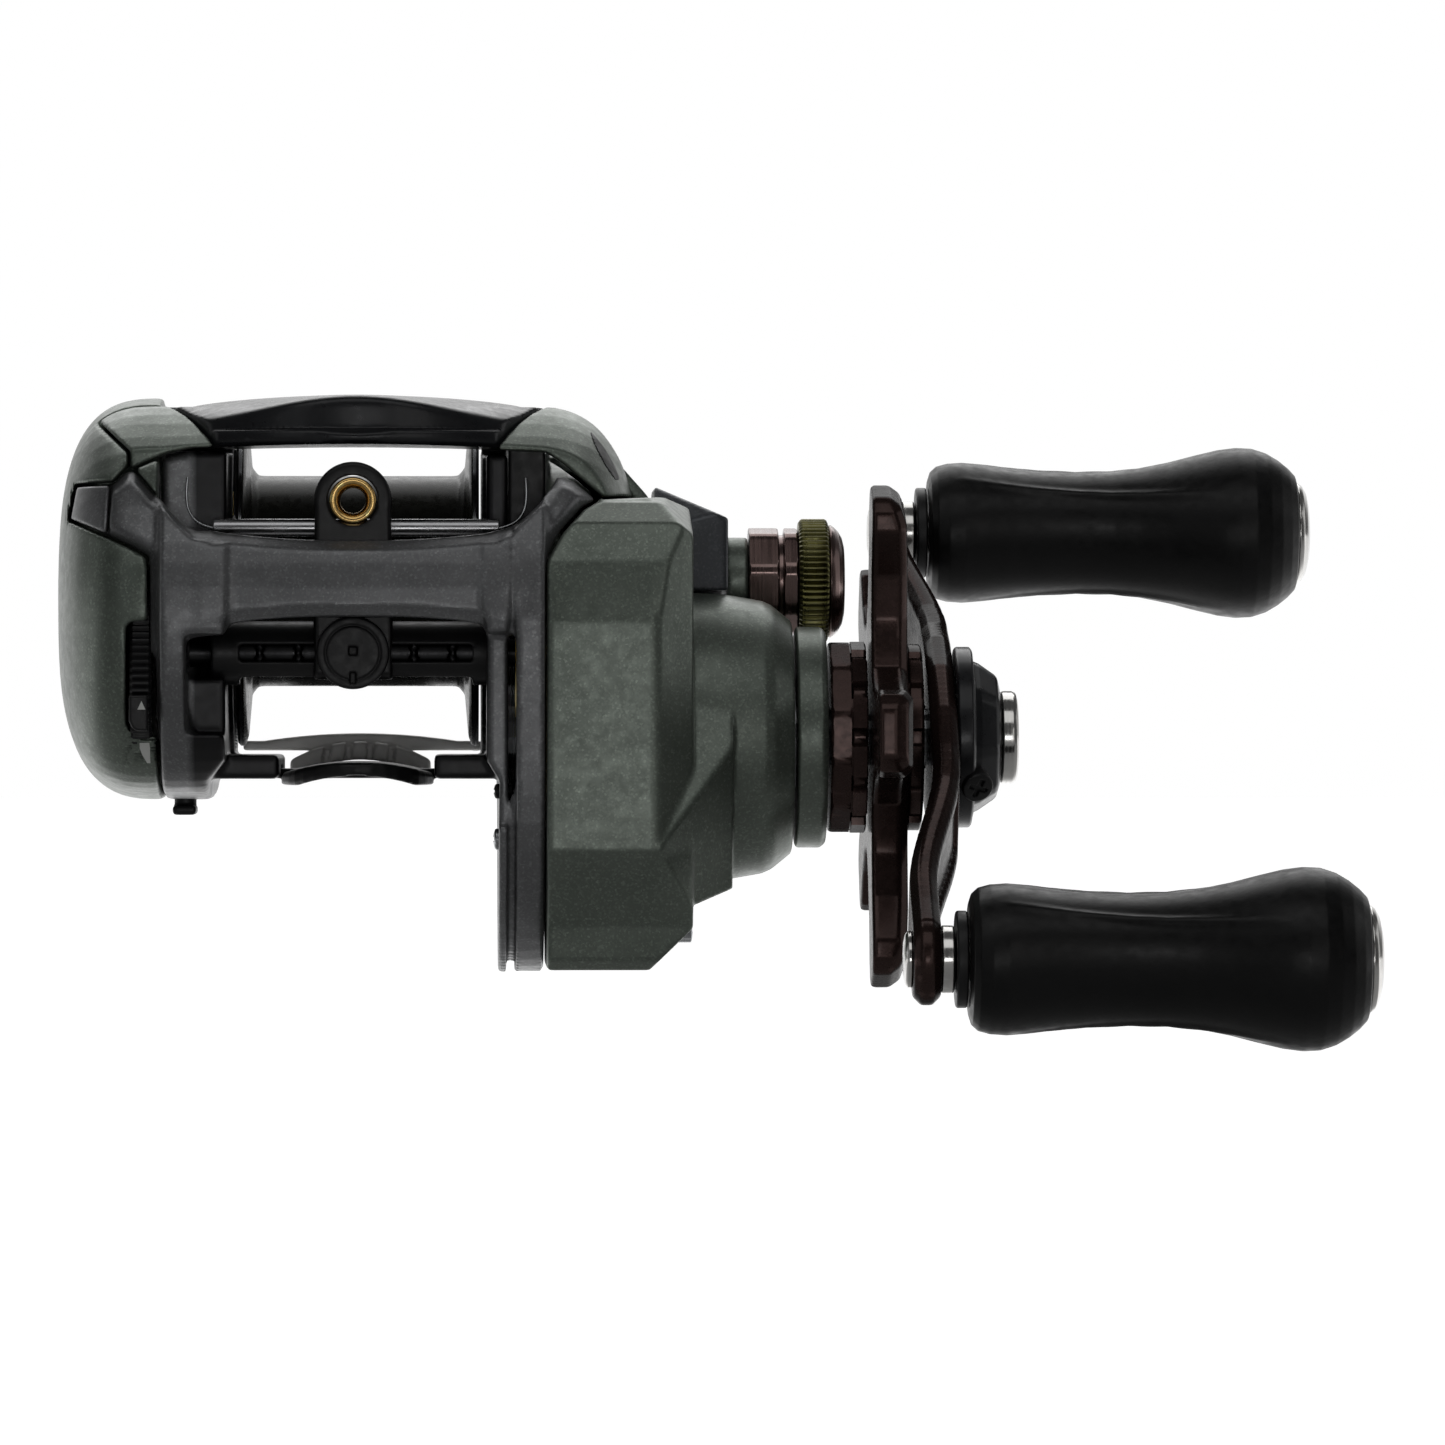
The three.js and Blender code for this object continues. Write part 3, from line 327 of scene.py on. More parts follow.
def turned(name, profile, centre, material, body, *nodes, segments=112, ease=0.18, axis="X", shape=None,
           sharp=40, slot=None):
    """A piece made by turning (along, radius) points; shape(along, radius, angle) can change a radius."""
    rows = eased(profile, ease) if ease else list(profile)
    points, faces = [], []
    angles = np.linspace(0, 2 * math.pi, segments, endpoint=False)
    starts = []
    for along, radius in rows:
        starts.append(len(points))
        ring = angles if radius > 1e-6 else angles[:1]
        for angle in ring:
            r = shape(along, radius, angle) if shape and radius > 1e-6 else radius
            u, v = r * math.cos(angle), r * math.sin(angle)
            if axis == "X":
                points.append((along, centre[0] + u, centre[1] + v))
            else:
                points.append((centre[0] + v, along, centre[1] + u))
    sizes = [segments if r > 1e-6 else 1 for _, r in rows]
    closed = rows[0] == rows[-1]
    pairs = list(zip(range(len(rows) - 1), range(1, len(rows))))
    if closed:
        del points[starts[-1]:]
        pairs[-1] = (len(rows) - 2, 0)
    for i, j in pairs:
        a, b = starts[i], starts[j]
        if sizes[i] == 1 and sizes[j] == 1:
            continue
        for k in range(segments):
            m = (k + 1) % segments
            if sizes[i] == 1:
                faces.append((a, b + m, b + k))
            elif sizes[j] == 1:
                faces.append((a + k, a + m, b))
            else:
                faces.append((a + k, a + m, b + m, b + k))
    mesh = mesh_of(name, points, faces)
    outwards(mesh)
    mesh.shade_smooth()
    mesh.set_sharp_from_angle(angle=math.radians(sharp))
    return piece(name, mesh, material, body, nodes)


def outwards(mesh):
    """Turns a closed mesh's faces outwards."""
    mesh.calc_loop_triangles()
    co = np.zeros(len(mesh.vertices) * 3)
    mesh.vertices.foreach_get("co", co)
    co = co.reshape(-1, 3)
    tri = np.zeros(len(mesh.loop_triangles) * 3, int)
    mesh.loop_triangles.foreach_get("vertices", tri)
    a, b, c = (co[tri.reshape(-1, 3)[:, k]] for k in range(3))
    if np.einsum("ij,ij->i", a, np.cross(b, c)).sum() < 0:
        mesh.flip_normals()


def off_middle(angle, count):
    """How far an angle is from the middle of its own facet, of a count round the turn."""
    step = 2 * math.pi / count
    return (angle + step / 2) % step - step / 2


def rim_teeth(count, depth, low, high, over=0.0):
    """A knurl for turned(): straight ridges between two stations, on what is wider than a radius."""
    def shape(along, radius, angle):
        if not low <= along <= high or radius < over:
            return radius
        wave = 0.5 + 0.5 * math.cos(count * angle)
        return radius - depth * (1 - wave ** 0.7)
    return shape


# ---- distance fields
def poly(u, v, points):
    """Signed distance to a closed outline, negative inside."""
    pts = np.asarray(points, np.float32)
    shape = np.broadcast(u, v).shape
    best = np.full(shape, 1e12, np.float32)
    sign = np.ones(shape, np.float32)
    for a, b in zip(pts, np.roll(pts, -1, 0)):
        e = b - a
        wu, wv = u - a[0], v - a[1]
        t = np.clip((wu * e[0] + wv * e[1]) / (e @ e), 0, 1)
        best = np.minimum(best, (wu - t * e[0]) ** 2 + (wv - t * e[1]) ** 2)
        above, below, side = v >= a[1], v < b[1], e[0] * wv > e[1] * wu
        sign = np.where((above & below & side) | (~above & ~below & ~side), -sign, sign)
    return sign * np.sqrt(best)


def union(a, b, k=0.0):
    if k <= 0:
        return np.minimum(a, b)
    h = np.maximum(k - np.abs(a - b), 0) / k
    return np.minimum(a, b) - h * h * k * 0.25


def meet(a, b, k=0.0):
    return -union(-a, -b, k)


def minus(a, b, k=0.0):
    return meet(a, -b, k)


def slab(u, low, high):
    return np.abs(u - (low + high) / 2) - (high - low) / 2


def rod(u, v, centre, radius):
    return np.hypot(u - centre[0], v - centre[1]) - radius


def block(p, x, y, z, k=0.0):
    return meet(meet(slab(p[0], *x), slab(p[1], *y), k), slab(p[2], *z), k)


def bar(p, centre, radius, low, high, k=0.0):
    """A round bar along X between two stations."""
    return meet(rod(p[1], p[2], centre, radius), slab(p[0], low, high), k)


def plane(p, point, normal):
    n = np.array(normal, float) / np.linalg.norm(normal)
    return sum((p[i] - point[i]) * n[i] for i in range(3)).astype(np.float32)


def faceted(p, body, *facets):
    """A body cut by planes, each given by a point, its outward normal and a rounding."""
    for point, normal, k in facets:
        body = meet(body, plane(p, point, normal), k)
    return body


def smooth_outline(points, count):
    """A closed centripetal Catmull-Rom curve through a few points."""
    pts = np.array(points, float)
    size = len(pts)
    out = []
    for s in np.arange(count) * size / count:
        i, t = int(s), s - int(s)
        p0, p1, p2, p3 = (pts[(i + j) % size] for j in (-1, 0, 1, 2))
        d = [max(np.linalg.norm(b - a), 1e-6) ** 0.5 for a, b in ((p0, p1), (p1, p2), (p2, p3))]
        m1 = ((p1 - p0) / d[0] - (p2 - p0) / (d[0] + d[1]) + (p2 - p1) / d[1]) * d[1]
        m2 = ((p2 - p1) / d[1] - (p3 - p1) / (d[1] + d[2]) + (p3 - p2) / d[2]) * d[1]
        t2, t3 = t * t, t * t * t
        place = (2 * t3 - 3 * t2 + 1) * p1 + (t3 - 2 * t2 + t) * m1
        out.append(place + (3 * t2 - 2 * t3) * p2 + (t3 - t2) * m2)
    return [tuple(q) for q in out]


CORNERS = [(i, j, k) for i in (0, 1) for j in (0, 1) for k in (0, 1)]


def net(name, field, low, high, step, tidy=1):
    """The surface where field(p) is zero, as a dense quad mesh (naive surface nets)."""
    axes = [np.arange(a - step, b + 2 * step, step, dtype=np.float32) for a, b in zip(low, high)]
    p = (axes[0][:, None, None], axes[1][None, :, None], axes[2][None, None, :])
    values = np.array(np.broadcast_to(field(p), [len(a) for a in axes]), dtype=np.float32)
    values[0], values[-1] = np.maximum(values[0], 0.01), np.maximum(values[-1], 0.01)
    inside = values < 0
    nx, ny, nz = values.shape
    total = np.zeros((nx - 1, ny - 1, nz - 1), np.uint8)
    for i, j, k in CORNERS:
        total += inside[i:nx - 1 + i, j:ny - 1 + j, k:nz - 1 + k]
    cell = np.argwhere((total > 0) & (total < 8))
    number = np.full(total.shape, -1, np.int32)
    number[tuple(cell.T)] = np.arange(len(cell))
    corner = np.stack([values[cell[:, 0] + i, cell[:, 1] + j, cell[:, 2] + k] for i, j, k in CORNERS], 1)
    places = np.array(CORNERS, np.float32)
    sums, counts = np.zeros((len(cell), 3), np.float32), np.zeros(len(cell), np.float32)
    for a in range(8):
        for b in range(a + 1, 8):
            if np.abs(places[a] - places[b]).sum() != 1:
                continue
            va, vb = corner[:, a], corner[:, b]
            hit = (va < 0) != (vb < 0)
            t = np.where(hit, va / np.where(hit, va - vb, 1), 0)
            sums += np.where(hit[:, None], places[a] + t[:, None] * (places[b] - places[a]), 0)
            counts += hit
    points = (cell + sums / counts[:, None]) * step + np.array([a[0] for a in axes])
    faces = []
    for axis in range(3):
        u, v = (axis + 1) % 3, (axis + 2) % 3
        here = [slice(None)] * 3
        there = [slice(None)] * 3
        here[axis], there[axis] = slice(0, -1), slice(1, None)
        changed = np.argwhere(inside[tuple(here)] != inside[tuple(there)])
        changed = changed[(changed[:, u] > 0) & (changed[:, v] > 0)]
        leaving = inside[tuple(changed.T)]
        quad = []
        for du, dv in ((1, 1), (0, 1), (0, 0), (1, 0)):
            at = changed.copy()
            at[:, u] -= du
            at[:, v] -= dv
            at[:, u] = np.minimum(at[:, u], number.shape[u] - 1)
            at[:, v] = np.minimum(at[:, v], number.shape[v] - 1)
            quad.append(number[tuple(at.T)])
        quad = np.stack(quad, 1)
        quad[~leaving] = quad[~leaving][:, ::-1]
        faces.append(quad[(quad >= 0).all(1)])
    faces = np.concatenate(faces)
    for _ in range(tidy):
        points = relaxed(points, faces, 0.5)
        points = relaxed(points, faces, -0.5)
    mesh = bpy.data.meshes.new(name)
    mesh.vertices.add(len(points))
    mesh.vertices.foreach_set("co", (points * MM).astype(np.float32).ravel())
    mesh.loops.add(faces.size)
    mesh.loops.foreach_set("vertex_index", faces.astype(np.int32).ravel())
    mesh.polygons.add(len(faces))
    mesh.polygons.foreach_set("loop_start", np.arange(0, faces.size, 4, dtype=np.int32))
    mesh.update(calc_edges=True)
    return mesh


def relaxed(points, faces, share):
    """Moves every point a share of the way to the middle of its neighbours."""
    total, count = np.zeros_like(points), np.zeros(len(points))
    for k in range(4):
        a, b = faces[:, k], faces[:, (k + 1) % 4]
        for s, t in ((a, b), (b, a)):
            for axis in range(3):
                total[:, axis] += np.bincount(s, points[t, axis], len(points))
            count += np.bincount(s, minlength=len(points))
    return points + share * (total / np.maximum(count, 1)[:, None] - points)


# ---- outlines of the body
TOP = [(24.6, 14), (22.5, 20), (18, 27), (10, 33), (0, 35.7), (-9, 35.7), (-18, 33.5), (-27, 27)]
PALM = smooth_outline([
    (24, 1), (26, 6), *TOP, (-31, 19), (-30.8, 10), (-28.6, 4), (-24, -0.5), (-16, -2), (10, -2), (20, -1),
], 72)
PLATE = smooth_outline([
    (24, 2), (26, 7), *TOP, (-30.8, 18), (-30.8, 4), (-29, -7), (-24, -14), (-16, -18), (-6, -18),
    (1, -13), (6, -5), (14, -1),
], 76)
CENTRE = (-3.0, 17.5)             # (Y, Z) that the two rounded ends of the body close in on
PALM_ROUND, GEAR_ROUND = 3.0, 2.5  # exponents of those ends' superellipses
BULGE = 0.9                       # how far the front falls back from its middle to the two sides
PALM_END = (-18.5, 10.0)          # where each end starts, and how long it is
GEAR_END = (16.8, 10.6)
SEAM = 0.14                       # half the width of a joint line
BEVEL = 0.707                     # scales the sum of two distances to a 45 degree bevel


def outline_reach():
    """How far the palm outline is from CENTRE, by angle."""
    around = np.array(PALM + PALM[:1])
    sides = [np.linspace(a, b, 12, endpoint=False) for a, b in zip(around, around[1:])]
    dense = np.concatenate(sides) - CENTRE
    angle = np.arctan2(dense[:, 1], dense[:, 0])
    order = np.argsort(angle)
    return angle[order], np.hypot(dense[:, 0], dense[:, 1])[order]


REACH = outline_reach()


def hull(p):
    """Roughly the distance to the outer skin that the sides, the band and the shoulder panels share."""
    x, y, z = p
    dy, dz = y - CENTRE[0], z - CENTRE[1]
    reach = np.interp(np.arctan2(dz, dy), *REACH, period=2 * math.pi).astype(np.float32)
    share = np.hypot(dy, dz) / reach
    palm_end = np.maximum((PALM_END[0] - x) / PALM_END[1], 0)
    gear_end = np.maximum((x - GEAR_END[0]) / GEAR_END[1], 0)
    palm_whole = (share ** PALM_ROUND + palm_end ** PALM_ROUND) ** (1 / PALM_ROUND)
    gear_whole = (share ** GEAR_ROUND + gear_end ** GEAR_ROUND) ** (1 / GEAR_ROUND)
    whole = np.where(x < 0, palm_whole, gear_whole)
    bulge = BULGE * np.minimum((x / 16) ** 2, 1.3) * np.clip(-dy / 28, 0, 1) ** 2
    return ((whole - 1) * reach * 0.93 + bulge).astype(np.float32)


# Front view outlines, (X, Z).
BAND_X = np.linspace(-15.2, 15.2, 15)
BAND = [(x, 21.95 + 0.95 * abs(x / 14) ** 2.2) for x in BAND_X]
BAND += [(x, 14.85 - 1.0 * abs(x / 13.5) ** 3) for x in BAND_X[::-1]]
FLARE_LEFT = [
    (-26.9, 24.1), (-26.35, 27.2), (-22.7, 27.25), (-21.15, 28.9), (-16.6, 23.5), (-15.2, 22.2),
    (-13.4, 22.4), (-13.0, 18), (-13.3, 13.8), (-15.35, 13.3), (-16.05, 12.7), (-16.3, 11.9),
    (-16.25, 8.2), (-15.9, 5.5), (-15.3, 3.7), (-18.2, 3.7), (-18.4, 10.9), (-19.05, 11.6),
    (-19.15, 19.4), (-19.25, 20.5), (-21.0, 21.5), (-23.0, 22.4),
]
FLARE_RIGHT = [
    (13.0, 22.4), (14.7, 22.9), (16.2, 24.1), (17.4, 25.4), (18.2, 26.8), (18.9, 28.1), (20.4, 27.6),
    (22.4, 25.9), (21.1, 25.15), (19.0, 22.8), (17.6, 20.3), (16.3, 17.6), (14.7, 14.4), (13.8, 13.9),
    (12.6, 13.95), (12.4, 18),
]
CORNER_PANEL = [(-26.9, 24.1), (-26.35, 27.2), (-22.95, 27.25), (-23.15, 22.45)]
WINDOW_LEFT = [
    (-21.3, 29.0), (-16.6, 23.5), (-15.2, 22.2), (-13.4, 21.4), (-9.0, 21.4), (-9.0, 31.8),
    (-19.6, 31.8),
]
WINDOW_RIGHT = [
    (9.0, 21.4), (13.4, 21.4), (14.7, 22.9), (17.4, 25.4), (18.9, 28.1), (19.4, 31.6), (9.0, 31.8),
]
SHOULDER_LEFT = [
    (-23.55, 32.65), (-21.2, 30.4), (-21.2, 28.75), (-17.7, 30.3), (-15.4, 30.8), (-5, 31.05), (-5, 40),
    (-31, 40),
]
SHOULDER_RIGHT = [
    (5, 30.7), (12.95, 30.6), (17.8, 30.4), (19.4, 29.3), (23.1, 26.2), (27.5, 26.4), (30, 40), (5, 40),
]
SHOULDER_FRONT = -21.8
SHOULDER_BACK = -12.5


def hood_edge(y):
    """Half the hood's width at a depth; its two seams spread towards the back."""
    return 13.3 + 0.5 * (np.minimum(y, -12.5) + 21.5)


def panel_room(p, outline, gap):
    """The space kept free for a shoulder panel, with a gap round its outline."""
    return meet(poly(p[0], p[2], outline) - gap, p[1] - SHOULDER_BACK - 0.3)


def shell(p, skin, outline, thickness, k=0.3, bevel=0.5):
    """A front-view outline taken out of the shared skin, to a thickness."""
    edge = poly(p[0], p[2], outline)
    body = meet(skin, edge, k)
    body = meet(body, (skin + edge + bevel) * BEVEL, 0.1)
    return minus(body, skin + thickness, 0.2)


# ---- frame
WALL = 2.4
RIM_WALL = 1.5
POCKET = 0.3


def frame_field(p):
    """The frame casting: two side plates, the front band, the flared corners and the foot's seat."""
    x, y, z = p
    skin = hull(p)
    palm, plate = poly(y, z, PALM), poly(y, z, PLATE)
    low = np.clip((1.5 - z) / 2.0, 0, 1)
    side = meet(palm, meet(PALM_OUT - x, x + FRAME_IN + 1.6 * low), 0.6)
    side = minus(side, rod(y, z, SPOOL, 16.2), 0.4)
    around = rod(y, z, SPOOL, 17.3)
    side = minus(side, meet(meet(poly(x, z, WINDOW_LEFT), -around), y + 19.5), 0.3)
    side = minus(side, block(p, (-15.9, -10), (-40, -25.2), (3.9, 13.2), 0.6), 0.3)
    tray = meet(plate, meet(FRAME_IN + 1.2 * low - x, x - 14.2), 0.4)
    rim = minus(meet(plate, slab(x, 13.4, RIM_OUT), 0.4), plate + RIM_WALL)
    tray = union(tray, rim, 0.3)
    tray = minus(tray, meet(slab(x, 14.1, 14.9), -(plate + 1.0)))
    tray = minus(tray, meet(meet(poly(x, z, WINDOW_RIGHT), -around), y + 19.5), 0.3)
    tray = minus(tray, block(p, (15.6, 16.7), (-40, -29.0), (-10.9, -7.0), 0.4))
    band = shell(p, skin, BAND, WALL, 0.2, 1.0)
    band = meet(band, plane(p, (0, -31.0, 21.0), (0, -0.50, 0.866)), 0.12)
    flares = union(shell(p, skin, FLARE_LEFT, WALL, 0.2, 0.9), shell(p, skin, FLARE_RIGHT, WALL, 0.2, 0.9))
    flares = minus(flares, meet(poly(x, z, CORNER_PANEL) - 0.16, -(skin + 1.6)))
    flares = minus(flares, block(p, (-19, -15), (-40, -29.4), (10.82, 10.98)))
    flares = meet(flares, y + 14)
    plates = meet(union(side, tray, 0.3), z - 34.9)
    plates = minus(plates, block(p, (12, 14.9), (-40, -28.9), (-4.6, 13.4), 0.4), 0.2)
    out = union(union(plates, band, 1.2), flares, 1.0)
    lips = meet(rod(y, z, SPOOL, 17.8), np.abs(np.abs(x) - 12.9) - 1.15, 0.3)
    out = union(out, meet(minus(lips, rod(y, z, SPOOL, 16.25)), z - 31.5))
    sides = (np.abs(x), y, z)
    out = union(out, block(sides, (7.3, 14.2), (-20, 13), (-0.3, 1.95), 0.4), 0.3)
    out = minus(out, block(sides, (6, 11.8), (-9 - POCKET, 1 + POCKET), (-2, 0.6 + POCKET), 0.3))
    out = minus(out, bar(p, SPOOL, 5.1, 11, 16))
    out = minus(out, bar(p, WORM, 3.35, -16.2, 16))
    out = minus(out, block(p, (11, 16), (19.2, 22.2), (1.6, 8.6), 0.3))
    for region in (SHOULDER_LEFT, SHOULDER_RIGHT):
        out = minus(out, panel_room(p, region, 0.3), 0.2)
    return out


carved("frame_casting", frame_field, (-28.6, -31.6, -18.6), (23.4, 26.4, 36.2), 0.3, GREY, "frame", "frame")


def corner_panel_field(p):
    """The small panel let into the band's upper corner on the palm side."""
    skin = hull(p)
    return minus(meet(skin, poly(p[0], p[2], CORNER_PANEL) + 0.08, 0.3), skin + 1.4, 0.2)


carved("frame_corner_panel", corner_panel_field, (-27.6, -28, 22), (-22.4, -12, 28), 0.2, GREY, "frame")


# ---- shoulder panels and the thumb rest
def shoulder_field(region, sign):
    """A shoulder panel: a region of the skin between the hood and the side."""
    def field(p):
        x, y, z = p
        skin = hull(p)
        seam = (hood_edge(y) + SEAM) - sign * x
        out = meet(meet(skin, poly(x, z, region), 0.2), -(skin + 1.9), 0.2)
        return meet(out, meet(seam, meet(SHOULDER_FRONT - y, y - SHOULDER_BACK), 0.2), 0.25)
    return field


def opening_shade_field(p):
    """Painted shade: a thin black lens-shaped sheet laid on the skin near the outer edge of the gear-side
    panel, standing for the shadow in an opening there.
    """
    x, y, z = p
    start, way = np.array((22.1, 32.4)), np.array((2.4, -4.3))
    dx, dz = x - start[0], z - start[1]
    t = np.clip((dx * way[0] + dz * way[1]) / (way @ way), 0, 1)
    lens = np.hypot(dx - t * way[0], dz - t * way[1]) - (0.10 + t * (1.2 - t))
    skin = hull(p)
    return meet(meet(lens, meet(skin - 0.06, -(skin + 0.5)), 0.1), meet(y + 12.8, -21 - y))


# Painted shade: a black sheet in place of the shadow in a lens-shaped opening on the gear-side shoulder.
carved("shoulder_inlay_gear", opening_shade_field, (21.5, -20, 27.2), (26, -12.6, 33), 0.12, PLASTIC, "frame")


def shade_wall_field(p):
    """Painted shade: the wall beside the gear-side window, made black to stand for the shadow inside the
    window.
    """
    return meet(block(p, (14.3, 17.75), (-19.6, -18.4), (20.8, 31.6), 0.2), poly(p[1], p[2], PLATE) + 0.4)


# Painted shade: the black wall stands for the shadow behind the gear-side window.
carved("gear_side_shade_wall", shade_wall_field, (14.1, -19.8, 20.6), (18, -18.2, 31.8), 0.2, PLASTIC, "frame")
carved("shoulder_panel_palm", shoulder_field(SHOULDER_LEFT, -1), (-25, -22.4, 28), (-8, -12, 36.4), 0.22,
       GREEN, "frame")
carved("shoulder_panel_gear", shoulder_field(SHOULDER_RIGHT, 1), (8, -22.4, 25.6), (27.6, -12, 36.4), 0.22,
       GREEN, "frame")

SKIN_TOP = np.array(sorted((y, z) for y, z in PALM if z > 24 and y < 12))


def hood_field(p):
    """The thumb rest that bridges the front of the spool."""
    x, y, z = p
    edge = np.interp(y, SKIN_TOP[:, 0], SKIN_TOP[:, 1])
    middle = 36.0 - 0.32 * np.clip((-12 - y) / 11, 0, 1.4) ** 2
    crown = np.clip(1 - (x / 15.5) ** 2, 0, 1) ** 0.8
    top = edge + (middle - edge) * crown
    swept = 3.9 * (x / 13.3) ** 2
    front = swept - 24.4
    under = 31.05 - 0.2 * (x / 12) ** 2
    upper = meet(meet(meet(z - top, front - y, 0.9), y - SHOULDER_BACK, 1.6), 32.2 - z)
    lip = meet(meet(z - 32.45, front - 0.95 - y, 0.5), y - SHOULDER_BACK, 1.2)
    slope = plane(p, (0, -25.3, 32.0), (0, -0.6, 0.8)) - swept * 0.6
    lip = meet(meet(lip, slope, 0.2), under - z, 0.8)
    return meet(union(upper, lip, 0.25), np.abs(x) - hood_edge(y) + SEAM, 0.25)


carved("thumb_rest_hood", hood_field, (-18.5, -26, 30.4), (18.5, -12, 36.6), 0.2, BLACK, "frame",
       "thumb_rest")


# ---- palm side cover
SLOT_DIAL = [
    (-21.35, 5.0), (-21.1, 4.3), (-20.4, 3.85), (-17, 3.8), (-17, 14.5), (-20.8, 14.4), (-21.2, 14.1),
    (-21.35, 13.6),
]


def cover_field(p):
    """The palm cover's shell, with its slot for the brake dial."""
    x, y, z = p
    skin = hull(p)
    thick = 1.3 + 2.7 * np.clip((-13 - y) / 4, 0, 1) * np.clip((z - 17) / 4, 0, 1)
    out = meet(skin, x + 18.5, 0.5)
    out = minus(out, meet(skin + thick, -(x + 27.2), 0.6))
    notch = union(poly(x, z, FLARE_LEFT), poly(x, z, CORNER_PANEL)) - 0.28
    out = minus(out, meet(meet(notch, -(skin + WALL + 0.3)), y + 13.6), 0.25)
    out = minus(out, meet(panel_room(p, SHOULDER_LEFT, 0.28), -(skin + 2.2)), 0.25)
    out = minus(out, meet(poly(x, z, SLOT_DIAL), y + 22), 0.35)
    return minus(out, meet(bar(p, DIAL, 8.45, -21.4, -18), skin + 0.3))


carved("palm_cover_shell", cover_field, (-28.8, -31.4, -2.4), (-18.4, 26.4, 36), 0.26, GREEN, "palm_cover",
       "palm_side_cover")


# ---- gear side cover
COVER_BASE = smooth_outline([
    (14, 0), (23.5, 3), (25.2, 8), (23, 16), (15.5, 25), (5, 30), (-6, 31), (-16, 29.2), (-24, 26),
    (-28.4, 22), (-30.3, 16), (-30.6, 8),
], 60)[:52] + [(-30.6, 2), (-30.6, -7), (-25.2, -13.6), (-21.5, -18), (-6, -18), (1, -13), (6, -5)]
COVER_FACE = [
    (5, 0), (6, 10), (2, 19), (-8, 24.6), (-20, 26.2), (-25, 25.6), (-28, 23.6), (-29.6, 20),
    (-30.5, 14), (-30.5, -6.9), (-26.6, -14.0), (-26.0, -17.2), (-24.8, -18.2), (-8, -18.1), (-1, -12),
]
LOWER_FACE = [
    (5, 0), (6, 8), (-12, 12), (-30.5, 12), (-30.5, -6.9), (-26.4, -13.6), (-20, -14.5), (-8, -14.5),
    (-1, -10),
]
BLOCK_FACE = [(9, 10), (10.5, 20), (6, 26), (0, 28.4), (-8, 28.4), (-13, 24), (-14, 12), (-8, 4), (4, 4)]


def gear_cover_field(p):
    """The faceted gear cover with the drive boss and its hollow inside."""
    x, y, z = p
    base = meet(poly(y, z, COVER_BASE), slab(x, 17.85, 27.9), 0.5)
    base = faceted(p, base, ((25.6, 0, 28.7), (0.748, 0, 0.663), 0.6))
    face = meet(poly(y, z, COVER_FACE), slab(x, 17.85, 31.5), 0.4)
    upper = union(base, face, 0.3)
    upper = faceted(p, upper, ((28.1, -30.6, 0), (0.70, -0.714, 0), 0.25),
                    ((27.6, -28, 25.9), (0.66, -0.15, 0.74), 0.3))
    upper = meet(upper, union(plane(p, (28.35, -26, -17.3), (0.70, 0, -0.714)), -14 - z), 0.15)
    upper = faceted(p, upper, ((25, -27.6, 25.6), (0.0, -0.70, 0.714), 0.3))
    lower = meet(poly(y, z, LOWER_FACE), slab(x, 24, 35.3), 0.35)
    lower = faceted(p, lower, ((31.9, -26, 10.3), (0.66, 0, 0.75), 0.1),
                    ((28.5, -30.5, -6.4), (0.110, -0.916, 0.386), 0.1),
                    ((28.5, -30.5, -6.4), (0.713, -0.677, -0.181), 0.12),
                    ((28.4, -26, -13.4), (0.376, 0, -0.927), 0.12))
    body = union(upper, lower, 0.1)
    radius = np.interp(x, [31, 34.5, 38.4, 39.3, 41.2], [13.9, 13.65, 12.95, 12.55, 11.0])
    body = union(body, bar(p, DRIVE, radius, 25, 41.2, 0.2), 0.08)
    body = union(body, bar(p, SPOOL, 4.2, 33, 37.4, 0.3), 0.2)
    inner = meet(poly(y, z, COVER_BASE) + 1.6, slab(x, 15, 26))
    inner = union(inner, meet(poly(y, z, COVER_FACE) + 3.0, slab(x, 20, 29.9)))
    inner = union(meet(inner, body + 1.3), bar(p, DRIVE, 9.2, 24, 40.9))
    body = minus(body, inner)
    body = minus(body, bar(p, DRIVE, 5.8, 30, 44))
    body = minus(body, bar(p, SPOOL, 1.5, 30, 40))
    body = minus(body, meet(spool_block(p, 0.06), 28 - x))
    body = minus(body, panel_room(p, SHOULDER_RIGHT, 0.3), 0.2)
    flare = meet(meet(poly(x, z, FLARE_RIGHT) - 0.32, -(hull(p) + WALL + 0.3)), y + 14)
    return minus(body, flare, 0.25)


def spool_block(p, room=0.0):
    """The raised block that carries the far end of the spool shaft."""
    out = meet(poly(p[1], p[2], BLOCK_FACE), slab(p[0], 22, 35.2), 0.4)
    return faceted(p, out, ((28.2, -8, 27.5), (0.40, 0, 0.917), 0.15),
                   ((30, -13.4, 18), (0.30, -0.954, 0), 0.3)) - room


def spool_block_field(p):
    """The part of the spool block that stands above the gear cover."""
    x, y, z = p
    out = minus(meet(spool_block(p), 28.2 - x), rod(y, z, DRIVE, 13.95))
    return minus(out, rod(y, z, SPOOL, 4.3))


carved("gear_cover_shell", gear_cover_field, (17.6, -31, -18.6), (41.6, 25.8, 31.8), 0.26, GREEN, "frame",
       "gear_side_cover")
carved("spool_side_block", spool_block_field, (27.9, -14.6, 6), (35.6, 11, 28.8), 0.26, SLATE, "frame")


